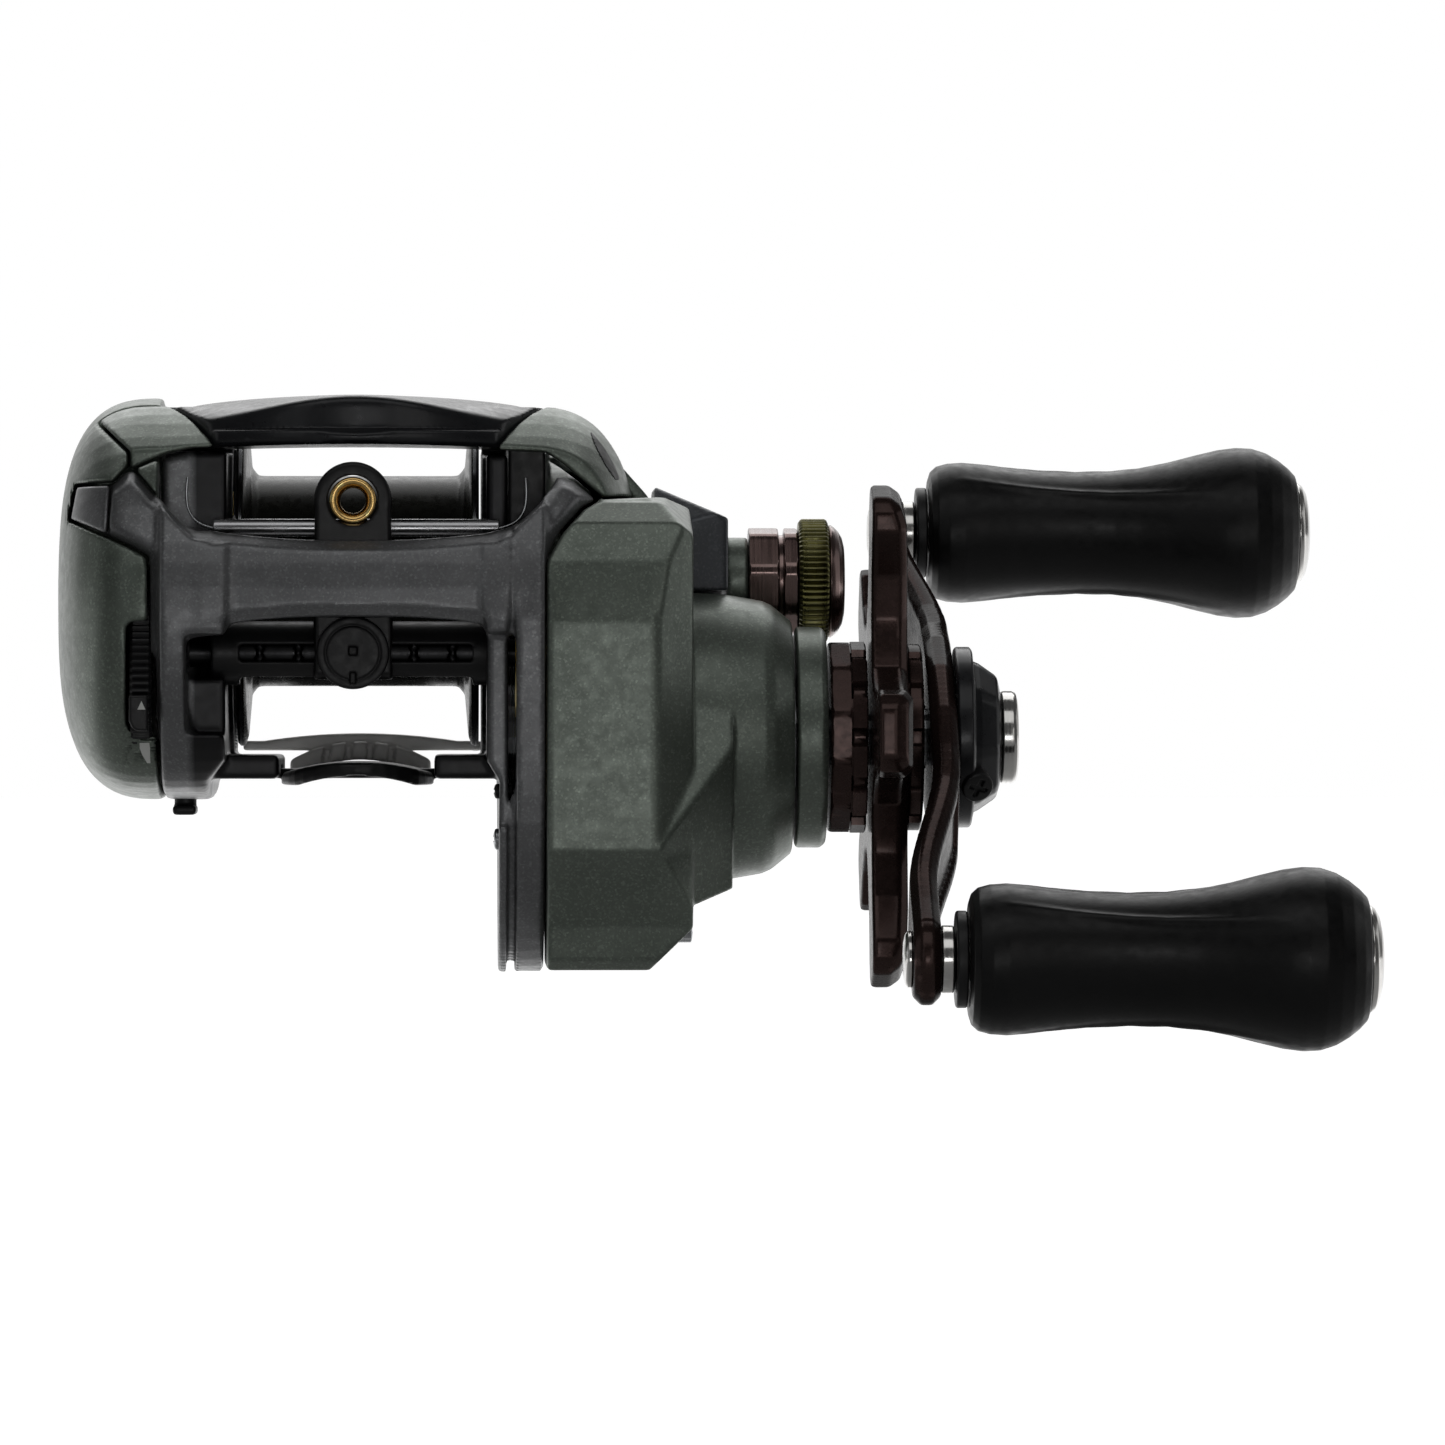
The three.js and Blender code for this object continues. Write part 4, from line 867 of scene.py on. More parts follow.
# ---- reel foot, rails and thumb bar
def foot_field(p):
    """The reel foot, arched underneath, with its screw holes."""
    x, y, z = p
    plan = smooth_outline([
        (-5, -22), (0, -25), (5, -22), (7, -14), (7.05, 0), (7, 16), (5.4, 25), (3.6, 30.6), (0, 32),
        (-3.6, 30.6), (-5.4, 25), (-7, 16), (-7.05, 0), (-7, -14),
    ], 56)
    out = poly(x, y, plan)
    top = np.where(y > 15, np.hypot(x, z + 10.6) - 11.9, np.hypot(x, z + 22.3) - 23.6)
    ends = np.interp(y, [-25, -24, 14, 32], [1.1, 1.4, 1.4, 0.3])
    out = meet(meet(out, top, 0.4), z - ends, 0.3)
    arch = 17.2 - np.hypot(x, z + 17.2)
    out = meet(out, meet(arch, -0.9 - z), 0.25)
    out = minus(out, block(p, (-0.9, 0.9), (-30, 40), (-0.4, 0.08), 0.1), 0.1)
    out = union(out, block(p, (-11.5, 11.5), (-9, 1), (-0.3, 0.6), 0.3), 0.2)
    out = minus(out, rod(np.abs(x), y, (9.6, -4), 1.0))
    return minus(out, meet(rod(np.abs(x), y, (9.6, -4), 1.8), z - 0.15))


carved("reel_foot_plate", foot_field, (-11.8, -25.4, -1.2), (11.8, 32.4, 1.6), 0.2, PLASTIC, "frame",
       "reel_foot")


def thumb_bar_field(p):
    """The thumb bar with its curved, ribbed pad."""
    x, y, z = p
    outer, inner = np.hypot(x, z + 10.6) - 13.75, 11.95 - np.hypot(x, z + 10.6)
    pad = meet(meet(outer, inner, 0.25), meet(slab(y, 18.4, 23.8), np.abs(x) - 6.9, 0.3), 0.35)
    for at in (-3.15, -1.05, 1.05, 3.15):
        lean = at - 0.12 * (3.2 - z)
        pad = minus(pad, meet(np.abs(x - lean) - 0.34, y - 19.2, 0.2), 0.12)
        rib = meet(np.abs(x - lean) - 0.30, slab(y, 18.75, 23), 0.1)
        pad = union(pad, meet(rib, meet(outer + 0.35, inner), 0.1), 0.05)
    crest = 3.2 + 0.75 * np.clip(1 - (x / 9.5) ** 2, 0, 1)
    rail = meet(meet(z - crest, 2.25 - z, 0.2), meet(slab(y, 19.3, 24.2), np.abs(x) - 11.5, 0.3), 0.3)
    tab = block(p, (11, 14.3), (19.8, 21.6), (2.25, 3.15), 0.3)
    return union(union(pad, rail, 0.1), tab, 0.2)


carved("thumb_bar_pad", thumb_bar_field, (-11.8, 18.3, -0.2), (14.6, 24.3, 4.1), 0.16, TEXTURED,
       "thumb_bar", "thumb_bar")


# ---- line guide
EYE_Z = 25.7
GUIDE_X = -0.28


def guide_field(p):
    """The line guide's block, with the eye and the pawl's seat."""
    x, y, z = p[0] - GUIDE_X, p[1], p[2]
    eye = (0, EYE_Z)
    half = np.interp(z, [9, 15, 18, 25.7], [3.7, 3.7, 3.62, 3.55])
    face = meet(np.abs(x) - half, meet(z - EYE_Z, 9 - z), 0.4)
    face = union(face, rod(x, z, eye, 3.62))
    side = poly(y, z, [
        (-26, 9.6), (-24.4, 7.6), (-19.2, 7.6), (-18.4, 9), (-18.4, 14.4), (-21.4, 17), (-21.4, 30),
        (-27.9, 30), (-27.9, 21), (-27.4, 17.2), (-26.4, 15.2), (-26, 15),
    ])
    out = meet(face, side, 0.5)
    out = minus(out, meet(rod(x, z, eye, 3.05), -27.45 - y), 0.3)
    for hole in (rod(y, z, WORM, 3.2), rod(y, z, ROD, 1.05), rod(x, z, eye, 1.5),
                 meet(rod(x, z, eye, 2.35), y + 24.9),
                 meet(rod(x, z, (0, WORM[1]), 2.0), slab(y, -27, -25.2))):
        out = minus(out, hole)
    return out


carved("line_guide_block", guide_field, (-4, -28.2, 7.3), (4, -18.1, 29.6), 0.16, BLOCK, "line_guide",
       "line_guide")
turned("guide_ring_insert", [
    (-28.05, 1.5), (-28.2, 1.75), (-28.2, 2.0), (-28.0, 2.2), (-25.2, 2.1), (-25.2, 1.2), (-27.5, 1.2),
    (-28.05, 1.5),
], (GUIDE_X, EYE_Z), GOLD, "line_guide", "guide_ring", segments=96, ease=0.12, axis="Y")


def pawl_cap_field(p):
    """The round cap under the eye, with a groove and a square socket."""
    x, y, z = p[0] - GUIDE_X, p[1], p[2]
    around = rod(x, z, (0, WORM[1]), 3.4)
    out = meet(around, slab(y, -27.85, -26.3), 0.3)
    out = minus(out, meet(meet(around + 0.75, -(around + 0.95)), y + 27.7), 0.05)
    p = (x, y, z)
    out = minus(out, block(p, (-0.42, 0.42), (-30, -27.0), (WORM[1] - 0.25, WORM[1] + 0.6), 0.1), 0.05)
    return minus(out, block(p, (-0.3, 0.3), (-30, -27.3), (8.6, 9.7), 0.1), 0.05)


carved("pawl_cap_screw", pawl_cap_field, (-3.9, -28, 7.9), (3.5, -26.1, 15.1), 0.1, PLASTIC, "line_guide",
       "pawl_cap")
for label, side in (("left", -1), ("right", 1)):
    turned(f"guide_pin_{label}", [
        (-27.55, 0), (-27.6, 0.5), (-27.45, 0.62), (-26.6, 0.62), (-26.6, 0),
    ], (GUIDE_X + side * 1.45, 21.75), BRONZE, "line_guide", segments=32, ease=0.06, axis="Y")
turned("guide_rod_bar", [
    (-13.4, 0), (-13.4, 0.85), (13.4, 0.85), (13.4, 0),
], ROD, POLISHED, "frame", "guide_rod", segments=64)


def guard_field(p):
    """The tube round the worm, open in front and below."""
    out = minus(bar(p, WORM, 3.0, -13.6, 13.6, 0.3), rod(p[1], p[2], WORM, 2.4))
    out = minus(out, block(p, (-10.9, 10.9), (-27, -22.5), (WORM[1] - 0.8, WORM[1] + 0.8), 0.3))
    return minus(out, block(p, (-10.9, 10.9), (-24.6, -20.4), (7, 9.3), 0.4), 0.1)


carved("worm_guard_tube", guard_field, (-13.9, -25.8, 8.2), (13.9, -19.2, 14.8), 0.17, PLASTIC, "frame",
       "worm_guard")


def worm_groove(along, radius, angle):
    """Two crossing helical grooves, right- and left-handed, on the shaft's wide part."""
    if radius < 2.0 or abs(along) > 9.4:
        return radius
    turns = 2 * math.pi * along / 3.6
    depth = 0.0
    for sign in (-1, 1):
        depth = max(depth, 0.5 * math.exp(-(off_middle(angle - sign * turns, 1) / 0.42) ** 4))
    return radius - depth


worm_rows = [
    (-15.6, 0), (-15.6, 1.3), (-11.6, 1.3), (-11.6, 2.1),
    *((x, 2.1) for x in np.linspace(-11.2, 11.2, 150)), (11.6, 2.1), (11.6, 1.3), (17, 1.3), (17, 0),
]
turned("worm_screw", worm_rows, WORM, GUNMETAL, "worm", "worm_shaft", segments=72, ease=0,
       shape=worm_groove)


# ---- spool
turned("spool_body", [
    (-11.5, 15.5), (-11.3, 15.8), (-10.85, 15.8), (-10.55, 14.9), (-10.2, 10.9), (-9.6, 10.15),
    (-8.9, 10.1), (8.9, 10.1), (9.6, 10.15), (10.2, 10.9), (10.55, 14.9), (10.85, 15.8), (11.3, 15.8),
    (11.5, 15.5), (11.15, 14.3), (11, 9.2), (1, 9), (1, 2.8), (11, 2.8), (11, 1.7), (-11, 1.7), (-11, 2.8),
    (-1, 2.8), (-1, 9), (-11, 9.2), (-11.15, 14.3), (-11.5, 15.5),
], SPOOL, SPOOL_OLIVE, "spool", "spool", segments=160, ease=0.25)
for sign in (-1, 1):
    edge = [(sign * x, r) for x, r in (
        (10.95, 15.82), (11.28, 15.84), (11.54, 15.55), (11.35, 15.1), (10.95, 15.82),
    )]
    turned(f"spool_rim_{'palm' if sign < 0 else 'gear'}", edge, SPOOL, STEEL, "spool", segments=160,
           ease=0.05)
turned("spool_axle", [
    (-17.7, 0), (-17.7, 0.8), (-17, 1.5), (15.1, 1.5), (16.9, 1.5), (16.9, 0.95), (37.8, 0.95), (38.3, 0.5),
    (38.3, 0),
], SPOOL, STEEL, "spool", "spool_shaft", segments=64, ease=0.15)


# ---- cast control
def cap_flats(along, radius, angle):
    """Eight flats round the two wide sections of the cast-control cap."""
    if not (37.5 < along < 40.25 or 40.85 < along < 42.1) or radius < 4.9:
        return radius
    return min(radius, 4.92 / math.cos(off_middle(angle - 0.18, 8)))


turned("cast_control_body", [
    (37.45, 2.9), (37.45, 5.0), (37.55, 5.2), (40.15, 5.2), (40.3, 5.0), (40.35, 4.45), (40.75, 4.45),
    (40.85, 5.0), (40.95, 5.15), (42.0, 5.15), (42.15, 4.95), (42.2, 4.6), (45.1, 4.6), (45.15, 5.35),
    (45.35, 5.45), (45.7, 5.2), (46.1, 4.8), (46.45, 4.2), (46.65, 3.4), (46.7, 2.4), (46.7, 0), (39.9, 0),
    (39.9, 2.9), (37.45, 2.9),
], SPOOL, BROWN, "cast_control", "cast_control_cap", segments=160, ease=0.08, shape=cap_flats, sharp=22)
KNURL_ROWS = [
    (42.25, 4.8), (42.25, 5.6), (42.45, 5.9), (42.65, 6.0), (44.75, 6.0), (44.95, 5.9), (45.1, 5.6),
    (45.1, 4.8), (42.25, 4.8),
]
turned("cast_control_knurl", KNURL_ROWS, SPOOL, OLIVE, "cast_control", "cast_control_ring", segments=512,
       ease=0, shape=rim_teeth(64, 0.22, 42.4, 45.0))


# ---- boss collar, drag bushing, star
turned("boss_collar_ring", [
    (41.5, 5.4), (41.5, 10.2), (41.7, 10.5), (43.9, 10.5), (44.4, 10.05), (44.4, 5.4), (41.5, 5.4),
], DRIVE, GREEN, "frame", "boss_collar", segments=128, ease=0.2)


def castle(along, radius, angle):
    """Rows of flat facets and notches round the drag bushing."""
    if radius < 8:
        return radius
    if along < 46.75:
        return min(radius, 9.0 / math.cos(off_middle(angle, 12)))
    off = off_middle(angle + math.pi / 12, 12)
    return min(radius, 9.0 / math.cos(off)) - (0.7 if abs(off) > math.pi * 0.055 else 0.0)


BUSH = [
    (44.7, 2.9), (44.7, 8.9), (44.9, 9.2), (45.0, 9.3), (46.5, 9.3), (46.6, 9.2), (46.62, 8.75),
    (46.78, 8.75), (46.8, 9.2), (46.9, 9.3), (47.9, 9.3), (48.05, 9.15), (48.2, 8.9), (48.2, 2.9),
    (44.7, 2.9),
]
turned("drag_bushing_ring", BUSH, DRIVE, BROWN_DARK, "handle", "drag_bushing", segments=192, ease=0,
       shape=castle, sharp=30)
STAR_PHASE = 107.0


def star_field(p):
    """The five-armed star with a dish in each arm."""
    x, y, z = p
    dy, dz = y - DRIVE[0], z - DRIVE[1]
    radius = np.hypot(dy, dz)
    angle = off_middle(np.arctan2(dz, dy) - math.radians(STAR_PHASE), 5)
    u, v = radius * np.cos(angle), np.abs(radius * np.sin(angle))
    arm = np.interp(u, [9, 13, 17, 21.5, 23.2, 24.3], [5.4, 4.2, 3.6, 4.1, 3.6, 2.4])
    outline = union(meet((v - arm) * 0.95, u - 24.3, 0.5), radius - 10.0, 4.0)
    front = np.interp(u, [0, 18, 22, 24.3], [51.95, 51.95, 51.75, 50.95])
    out = meet(outline, meet(48.5 - x, x - front), 0.45)
    out = meet(out, (outline + (x - front) + 0.75) * BEVEL, 0.15)
    dish = meet(meet(v - arm + 1.7, u - 21.2, 0.8), 12.8 - u, 0.8)
    out = minus(out, meet(dish, 51.55 - x), 0.3)
    return minus(out, radius - 2.9)


carved("star_drag_wheel", star_field, (48.2, DRIVE[0] - 24.8, DRIVE[1] - 24.8),
       (52.1, DRIVE[0] + 24.8, DRIVE[1] + 24.8), 0.22, BROWN_DARK, "star", "star_drag")


def hub_notches(_along, radius, angle):
    """Twelve notches round the star's hub."""
    return radius - (0.55 if radius > 8.6 and math.cos(12 * angle) > 0.55 else 0.0)


turned("star_hub_ring", [
    (52.0, 2.95), (52.0, 8.5), (52.2, 8.9), (53.3, 8.9), (53.5, 8.5), (53.5, 2.95), (52.0, 2.95),
], DRIVE, BROWN_DARK, "star", segments=192, ease=0.1, shape=hub_notches)


# ---- handle
COS, SIN = math.cos(HANDLE_ANGLE), math.sin(HANDLE_ANGLE)
CRANK = 42                        # from the drive axis to a knob's axis
ARM_HALF = 1.3                    # half the plate's thickness


def handle_field(p):
    """The cranked handle plate with a trough in each arm."""
    x, y, z = p
    dy, dz = y - DRIVE[0], z - DRIVE[1]
    u, v = dy * COS + dz * SIN, -dy * SIN + dz * COS
    half = np.interp(np.abs(u), [0, 7, 12, 17, 30, 38, 60], [7.9, 7.2, 6.0, 5.3, 4.7, 4.2, 4.2])
    plan = (np.abs(v) - half) * 0.97
    ends = np.hypot(np.maximum(np.abs(u) - CRANK, 0), v) - 4.2
    plan = meet(plan, np.where(np.abs(u) > CRANK, ends, np.abs(v) - 9), 0.3)
    way = np.clip((np.abs(u) - 13) / 22, 0, 1)
    middle = 55.25 - 3.05 * way * way * (3 - 2 * way)
    sides = np.abs(x - middle) - ARM_HALF
    out = meet(plan, sides, 0.35)
    out = meet(out, (plan + sides + 0.8) * BEVEL, 0.1)
    trough = meet(np.abs(v) - half + 2.0, meet(np.abs(u) - 34.5, 14.5 - np.abs(u), 1.5), 1.2)
    out = minus(out, meet(trough, middle + ARM_HALF - 0.5 - x), 0.3)
    out = minus(out, rod(y, z, DRIVE, 2.95))
    return minus(out, rod(np.abs(u), v, (CRANK, 0), 2.1))


carved("handle_arm", handle_field, (50.6, -52.4, -21.2), (56.9, 30.3, 28.4), 0.24, BROWN_DARK, "handle",
       "handle_plate")


def cover_flats(along, radius, angle):
    """Eight flats on the nut cover's cone."""
    if radius < 4.8 or not 58.3 < along < 60.9:
        return radius
    return radius * min(1.0, 0.955 / math.cos(off_middle(angle + 0.2, 8)))


turned("nut_cover_shell", [
    (56.65, 4.7), (56.65, 8.4), (56.85, 8.6), (58.1, 8.6), (58.35, 8.3), (58.4, 7.3), (59.0, 7.05),
    (60.5, 6.0), (60.75, 5.7), (61.0, 4.6), (61.0, 0), (60.2, 0), (60.2, 4.4), (56.65, 4.7),
], DRIVE, BLACK, "handle", "nut_cover", segments=160, ease=0.12, shape=cover_flats, sharp=22,
   slot="black_plastic")
turned("nut_cap_disc", [
    (61.1, 0), (61.1, 4.25), (61.25, 4.4), (62.2, 4.4), (62.55, 4.2), (62.7, 3.7), (62.7, 0),
], DRIVE, SILVER, "handle", "nut_cap", segments=96, ease=0.12)


def knob_shape(along, radius, angle):
    """Two broad finger scoops and a moulded crease line on a round knob."""
    if radius < 4.4 or not 57 < along < 92:
        return radius
    reach = math.sin(math.pi * min(max((along - 58.5) / 27.0, 0), 1)) ** 0.8
    side = abs(math.cos(angle - math.radians(20)))
    hollow = max(0.0, side - 0.55) / 0.45
    rise = 0.30 * math.exp(-((side - 0.52 - 0.012 * (along - 72)) / 0.05) ** 2)
    return radius - reach * (0.55 * hollow ** 1.5 - rise)


KNOB_ROWS = [
    (56.3, 3.4), (56.0, 4.6), (56.05, 5.2), (56.3, 6.0), (56.9, 6.55), (58.0, 6.85), (59.5, 6.9),
    (62, 6.6), (65, 6.2), (68, 5.98), (71, 5.9), (74, 6.02), (77, 6.4), (80, 7.0), (82.5, 7.65),
    (84.8, 8.2), (86.6, 8.43), (88.2, 8.35), (89.6, 7.9), (90.8, 7.2), (91.8, 6.4), (92.45, 5.7),
    (92.6, 5.2), (92.6, 2.6), (92.0, 2.2), (56.3, 2.2), (56.3, 3.4),
]
for number, centre in KNOBS.items():
    body = f"knob_{number}"
    rows = []
    for a, b in zip(KNOB_ROWS[:22], KNOB_ROWS[1:23]):
        rows += [tuple(np.array(a) + (np.array(b) - a) * t) for t in np.linspace(0, 1, 4, endpoint=False)]
    rows += KNOB_ROWS[22:]
    turned(f"{body}_grip", rows, centre, RUBBER, body, body, segments=128, ease=0.3, shape=knob_shape,
           sharp=60)
    turned(f"{body}_cap_disc", [
        (92.3, 0), (92.3, 2.1), (92.55, 2.1), (92.6, 4.9), (92.75, 4.95), (93.15, 4.7), (93.55, 4.0),
        (93.8, 2.9), (93.95, 1.4), (94.0, 0),
    ], centre, SILVER, body, f"knob_cap_{number}", segments=96, ease=0.1)
    turned(f"{body}_spindle", [
        (50.1, 0), (50.1, 1.6), (50.25, 2.3), (50.5, 2.6), (50.85, 2.6), (50.9, 1.9), (53.5, 1.9),
        (53.5, 2.8), (53.6, 3.1), (54.6, 3.1), (54.75, 2.9), (54.8, 2), (91, 2), (91, 0),
    ], centre, SILVER, "handle", f"knob_spindle_{number}", segments=96, ease=0.1)
    turned(f"{body}_washer", [
        (54.85, 2.1), (54.85, 4.3), (55.0, 4.45), (55.8, 4.45), (55.9, 4.3), (55.9, 2.1), (54.85, 2.1),
    ], centre, PLASTIC, "handle", segments=96, ease=0.08)


# ---- brake dial and the other gears
DIAL_ROWS = [(-21, 1.3), (-21, 7.95), (-20.75, 8.2), (-19.25, 8.2), (-19, 7.95), (-19, 1.3), (-21, 1.3)]
turned("brake_dial_knurled", DIAL_ROWS, DIAL, PLASTIC, "brake_dial", "brake_dial", segments=576, ease=0,
       shape=rim_teeth(72, 0.30, -21, -19, 7.9), sharp=28)


def marker_field(p):
    """The small block below the brake dial's window."""
    x, y, z = p
    outline = [(-21.05, 5.1), (-20.7, 4.45), (-20.3, 4.2), (-19.3, 4.2), (-19.3, 7.55), (-21.05, 7.55)]
    return meet(poly(x, z, outline), slab(y, -30.1, -28.9), 0.25)


carved("dial_window_block", marker_field, (-21.2, -30.3, 4.0), (-19.1, -28.7, 7.8), 0.1, PLASTIC,
       "palm_cover")


def prism_mesh(name, outline, front, back):
    """A thin front-view outline between two depths."""
    count = len(outline)
    points = [(x, front, z) for x, z in outline] + [(x, back, z) for x, z in outline]
    faces = [tuple(range(count)), tuple(range(2 * count - 1, count - 1, -1))]
    faces += [(k, k + count, (k + 1) % count + count, (k + 1) % count) for k in range(count)]
    mesh = mesh_of(name, points, faces)
    outwards(mesh)
    return mesh


def skin_depth(x, z):
    """Y of the outer skin's front at a place in the front view."""
    low, high = -34.0, -15.0
    for _ in range(24):
        y = (low + high) / 2
        outside = hull((np.float32([[[x]]]), np.float32([[[y]]]), np.float32([[[z]]]))).item() > 0
        low, high = (y, high) if outside else (low, y)
    return high


dial_mark = prism_mesh("dial_mark", [(-20.25, 6.2), (-19.5, 6.2), (-19.87, 7.0)], -30.14, -30.0)
piece("dial_mark", dial_mark, MARK, "palm_cover", smooth=False)
MARK_ROWS = ((3.1, -20.15, -19.25), (2.6, -20.15, -19.2), (2.0, -19.95, -19.2), (1.2, -19.5, -19.2))
rows = [[(x, skin_depth(x, z) - 0.03, z) for x in np.linspace(a, b, 4)] for z, a, b in MARK_ROWS]
flat = [q for row in rows for q in row]
quads = [(r * 4 + c, r * 4 + c + 1, r * 4 + c + 5, r * 4 + c + 4) for r in range(3) for c in range(3)]
piece("setting_mark", mesh_of("setting_mark", flat, quads), MARK, "palm_cover")
turned("brake_housing_disc", [
    (-18, 4.3), (-18, 15.6), (-16.8, 15.6), (-16.8, 5.4), (-14, 5.4), (-14, 4.1), (-17.2, 4.1), (-17.2, 2),
    (-18.6, 2), (-18.6, 4.3), (-18, 4.3),
], SPOOL, PLASTIC, "palm_cover", "brake_housing", segments=128, ease=0.2)
turned("brake_race_ring", [
    (-16.4, 9.4), (-16.4, 10.4), (-13, 10.4), (-13, 9.4), (-16.4, 9.4),
], SPOOL, BRASS, "brake_race", "brake_race", segments=128)
for name, low, high, outer, inner, body in (
        ("palm_bearing", -17, -14.4, 4, 1.6, "palm_cover"),
        ("gear_side_bearing", 12.4, 14.4, 5, 1.7, "frame")):
    wide = outer - inner
    turned(f"{name}_race", [
        (low, inner), (low, inner + wide * 0.3), (low + 0.25, inner + wide * 0.34),
        (low + 0.25, outer - wide * 0.34), (low, outer - wide * 0.3), (low, outer), (high, outer),
        (high, outer - wide * 0.3), (high - 0.25, outer - wide * 0.34), (high - 0.25, inner + wide * 0.34),
        (high, inner + wide * 0.3), (high, inner), (low, inner),
    ], SPOOL, STEEL, body, name, segments=96, ease=0.1)


# ---- small fixings
def screw(name, at, radius, height, axis, body, material=STEEL):
    """A round-headed screw with a cross recess; it stands on a point and faces along an axis."""
    low, high = -1.2, height

    def field(p):
        u, v, w = p
        out = np.hypot(u, v)
        head = meet(out - radius, w - high + (out / radius) ** 2 * height * 0.35, 0.15)
        head = meet(head, low - w)
        long, short = radius * 0.62, radius * 0.16
        arms = [meet(slab(a, -long, long), slab(b, -short, short), 0.03) for a, b in ((u, v), (v, u))]
        return minus(head, meet(union(*arms), high - 0.35 - w), 0.05)
    reach = radius + 0.1
    mesh = net(name, field, (-reach, -reach, low), (reach, reach, high), radius / 16, tidy=0)
    turn = Vector((0, 0, 1)).rotation_difference(Vector(axis)).to_matrix().to_4x4()
    mesh.transform(Matrix.Translation(Vector(at) * MM) @ turn)
    piece(name, mesh, material, body)


screw("plate_screw_upper", (13.45, -22.5, -1.45), 0.7, 0.6, (-1, 0, 0), "frame", PLASTIC)
screw("plate_screw_lower", (13.45, -22.0, -5.95), 1.0, 0.65, (-1, 0, 0), "frame")
screw("nut_cover_screw", (58.55, DRIVE[0] - 7.2, DRIVE[1] - 4.7), 1.5, 0.35, (0.25, -0.83, -0.5), "handle",
      PLASTIC)
for number, at in enumerate(((27.7, 14.5, 19.5), (31.6, -4, -14.8), (27.7, -24.6, 19.2)), 1):
    screw(f"gear_cover_screw_{number}", at, 1.3, 0.45, (1, 0, 0), "frame")


def lever_field(p):
    """The quick-release lever under the palm cover, on its round stub."""
    x, y, z = p
    stub = meet(rod(x, y, (-16.4, -8), 1.05), slab(z, -3.2, -0.4), 0.2)
    return union(stub, block(p, (-17.6, -15.35), (-9.6, -3), (-3.8, -2.85), 0.42), 0.15)


carved("side_lock_lever", lever_field, (-18, -9.9, -4), (-15.1, -2.8, 0), 0.13, PLASTIC, "side_plate_lock",
       "side_plate_lock")


def highlight_bead(name, path, radius=0.11, sides=10):
    """Painted highlight: a thin bright steel bead along a smooth path on the frame, standing for the light
    caught on an edge.
    """
    curve = [Vector(q) for q in path]
    dense = []
    for i in range(len(curve) - 1):
        a, b, c, d = curve[max(i - 1, 0)], curve[i], curve[i + 1], curve[min(i + 2, len(curve) - 1)]
        for t in np.linspace(0, 1, 8, endpoint=False):
            bend = (2 * a - 5 * b + 4 * c - d) * t * t + (3 * b - a - 3 * c + d) * t ** 3
            dense.append(0.5 * (2 * b + (c - a) * t + bend))
    dense.append(curve[-1])
    points, faces = [], []
    for i, at in enumerate(dense):
        along = (dense[min(i + 1, len(dense) - 1)] - dense[max(i - 1, 0)]).normalized()
        u = along.cross(Vector((0, 1, 0))).normalized()
        v = along.cross(u)
        ring = np.linspace(0, 2 * math.pi, sides, False)
        points += [tuple(at + (u * math.cos(t) + v * math.sin(t)) * radius) for t in ring]
    for start in range(0, (len(dense) - 1) * sides, sides):
        faces += [(start + k, start + (k + 1) % sides, start + sides + (k + 1) % sides, start + sides + k)
                  for k in range(sides)]
    faces += [tuple(range(sides)), tuple(range(len(points) - 1, len(points) - 1 - sides, -1))]
    mesh = mesh_of(name, points, faces)
    outwards(mesh)
    piece(name, mesh, STEEL, "frame")


# Painted highlight: beads round the upper window corners stand for the light caught on the edges there.
CORNER_HIGHLIGHT = [
    (-15.9, -19.6, 28.0), (-15.95, -20.4, 26.4), (-15.75, -21.2, 25.0), (-15.0, -22.0, 23.9),
    (-13.7, -22.6, 23.3), (-12.3, -22.9, 23.1),
]
highlight_bead("corner_highlight_palm", CORNER_HIGHLIGHT)
highlight_bead("corner_edge_gear", [(-x, y, z) for x, y, z in CORNER_HIGHLIGHT])


# ---- nodes that keep their CAD shape
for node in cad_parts.values():
    slot_name = own_name(node.data.materials[0]) if node.data.materials else ""
    node.data.materials.clear()
    node.data.materials.append(SLOTS.get(slot_name, STEEL))
    if not node.hide_render:
        node.data.shade_smooth()
        node.data.set_sharp_from_angle(angle=math.radians(30))


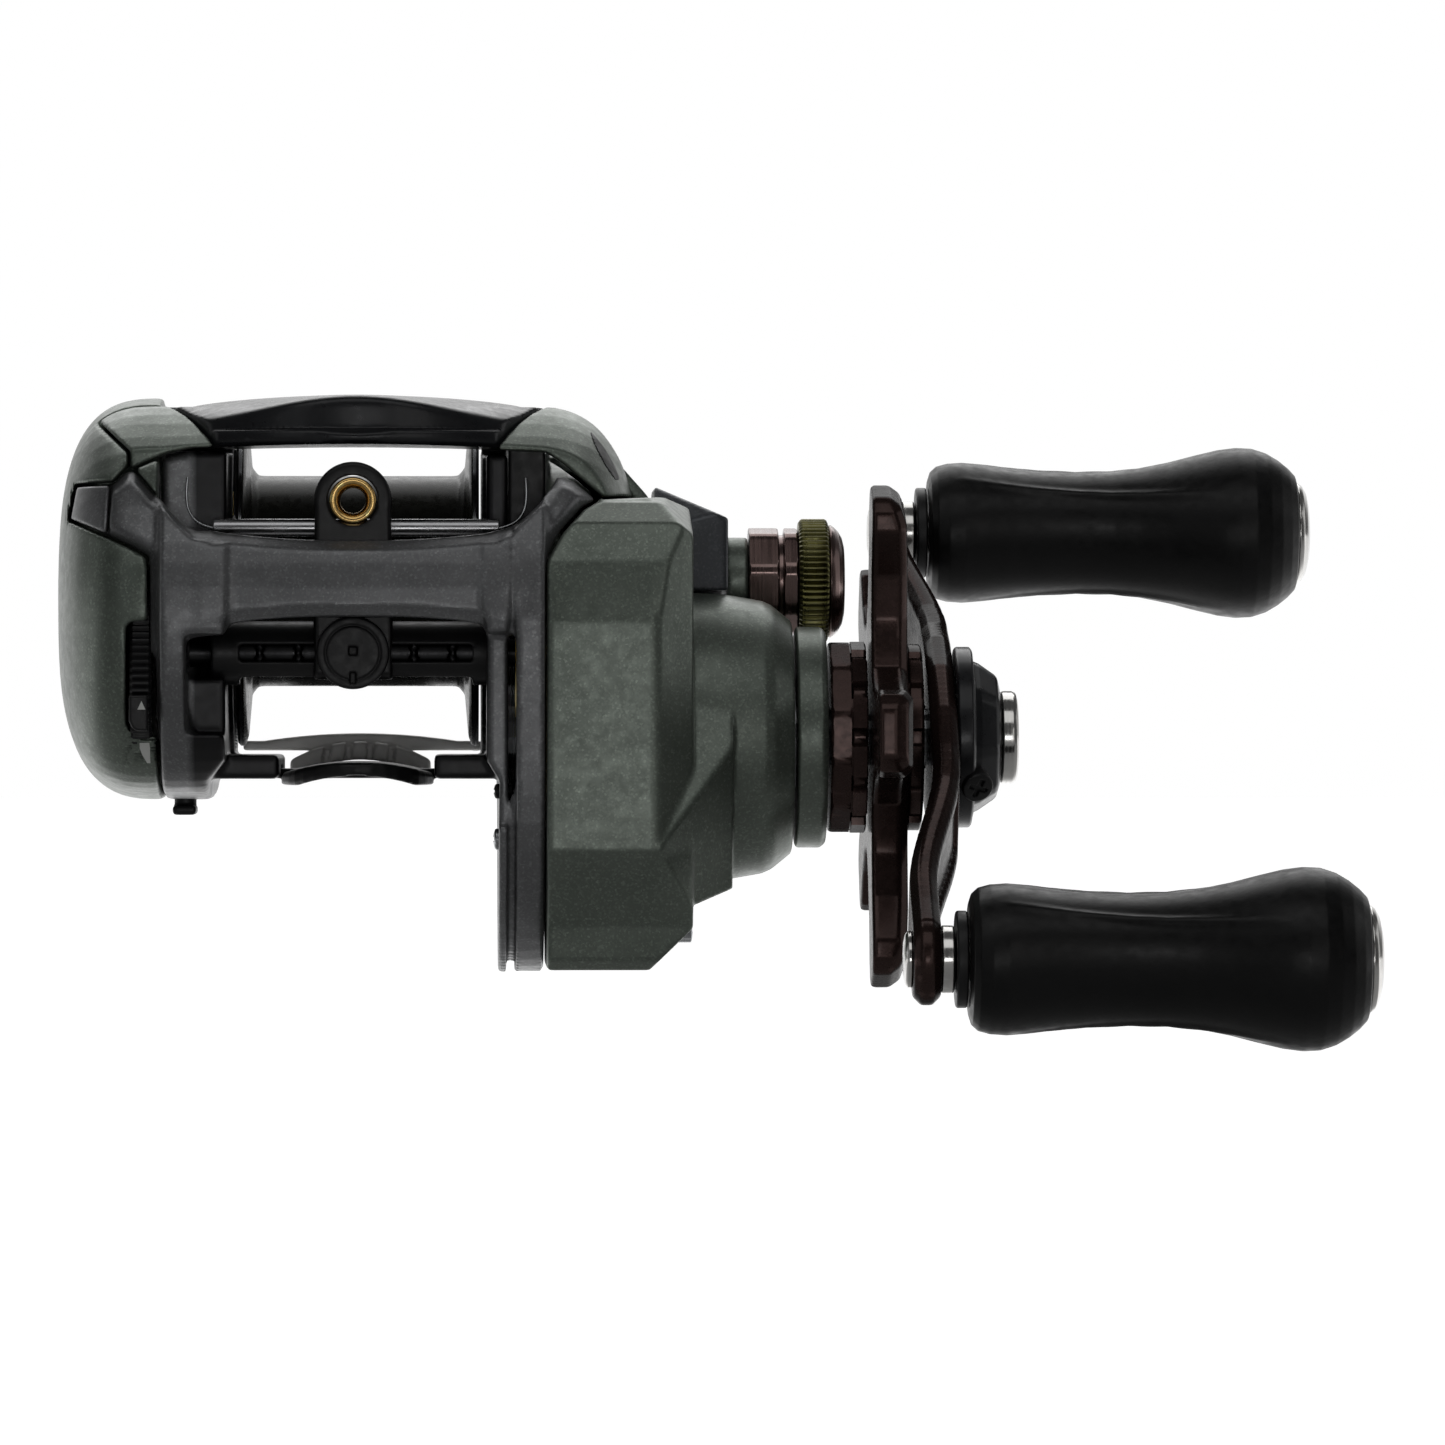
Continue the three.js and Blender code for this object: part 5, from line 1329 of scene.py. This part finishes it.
# ---- floor, light and camera
def tabletop():
    """A pale tabletop, dimmer in front of the object and glowing white behind it."""
    n = Look("studio_floor")
    split = n.add("ShaderNodeSeparateXYZ")
    n.link(n.coords, split.inputs[0])
    base = n.mix(n.span(split.outputs[1], -0.10, 0.10, smooth=True), (0.50, 0.50, 0.50), (0.84, 0.84, 0.84))
    glow = n.span(split.outputs[1], 0.02, 0.13, 0.0, 0.92, smooth=True)
    n.link(glow, n.bsdf.inputs["Emission Strength"])
    return n.finish(base, n.cloud(40, 2, 0.75, 0.85), Emission_Color=(1, 1, 1, 1))


FLOOR_Z = -76
FLOOR_REACH = 9000
corners = [(x * FLOOR_REACH, y * FLOOR_REACH, FLOOR_Z) for x, y in ((-1, -1), (1, -1), (1, 1), (-1, 1))]
floor = place("studio_floor", mesh_of("studio_floor", corners, [(0, 1, 2, 3)]))
floor.data.materials.append(tabletop())


def softbox(name, at, size, power, tint=(1, 1, 1)):
    """A rectangular lamp aimed at the reel."""
    data = bpy.data.lights.new(name, "AREA")
    data.shape = "RECTANGLE"
    data.size, data.size_y = size[0] * MM, size[1] * MM
    data.energy = power
    data.color = tint
    place(name, data, at, (10, -8, 10))


softbox("softbox_top", (10, 330, 380), (520, 420), 1.0)
softbox("softbox_front_top", (0, -330, 430), (620, 300), 0.50)
softbox("softbox_front_low", (40, -840, -30), (300, 160), 0.5)
softbox("softbox_left", (-460, 60, 60), (300, 420), 0.12)
softbox("softbox_right", (520, 60, 90), (300, 420), 0.24)
softbox("softbox_front_left", (-330, -560, 160), (160, 420), 0.10, (0.97, 0.985, 1))
softbox("softbox_front_right", (300, -620, 60), (200, 420), 0.20, (1, 0.985, 0.97))


def sky():
    """White behind the object and dim grey everywhere else."""
    world = bpy.data.worlds.new("studio")
    n = Nodes(world)
    split = n.add("ShaderNodeSeparateXYZ")
    n.link(n.add("ShaderNodeTexCoord").outputs["Generated"], split.inputs[0])
    background = n.tree.nodes["Background"]
    n.link(n.span(split.outputs[1], 0.56, 0.97, 0.07, 1.0, smooth=True), background.inputs["Strength"])
    background.inputs["Color"].default_value = (1.0, 1.0, 1.0, 1)
    return world


bpy.context.scene.world = sky()
bpy.context.scene.view_settings.view_transform = "Standard"
bpy.context.scene.view_settings.look = "None"

camera_data = bpy.data.cameras.new("camera")
camera_data.lens = 233
camera_data.sensor_width = 36
camera_data.clip_start = 0.05
camera_data.clip_end = 20
bpy.context.scene.camera = place("camera", camera_data, (8.75, -900, 5), (35.0, 0, 5))
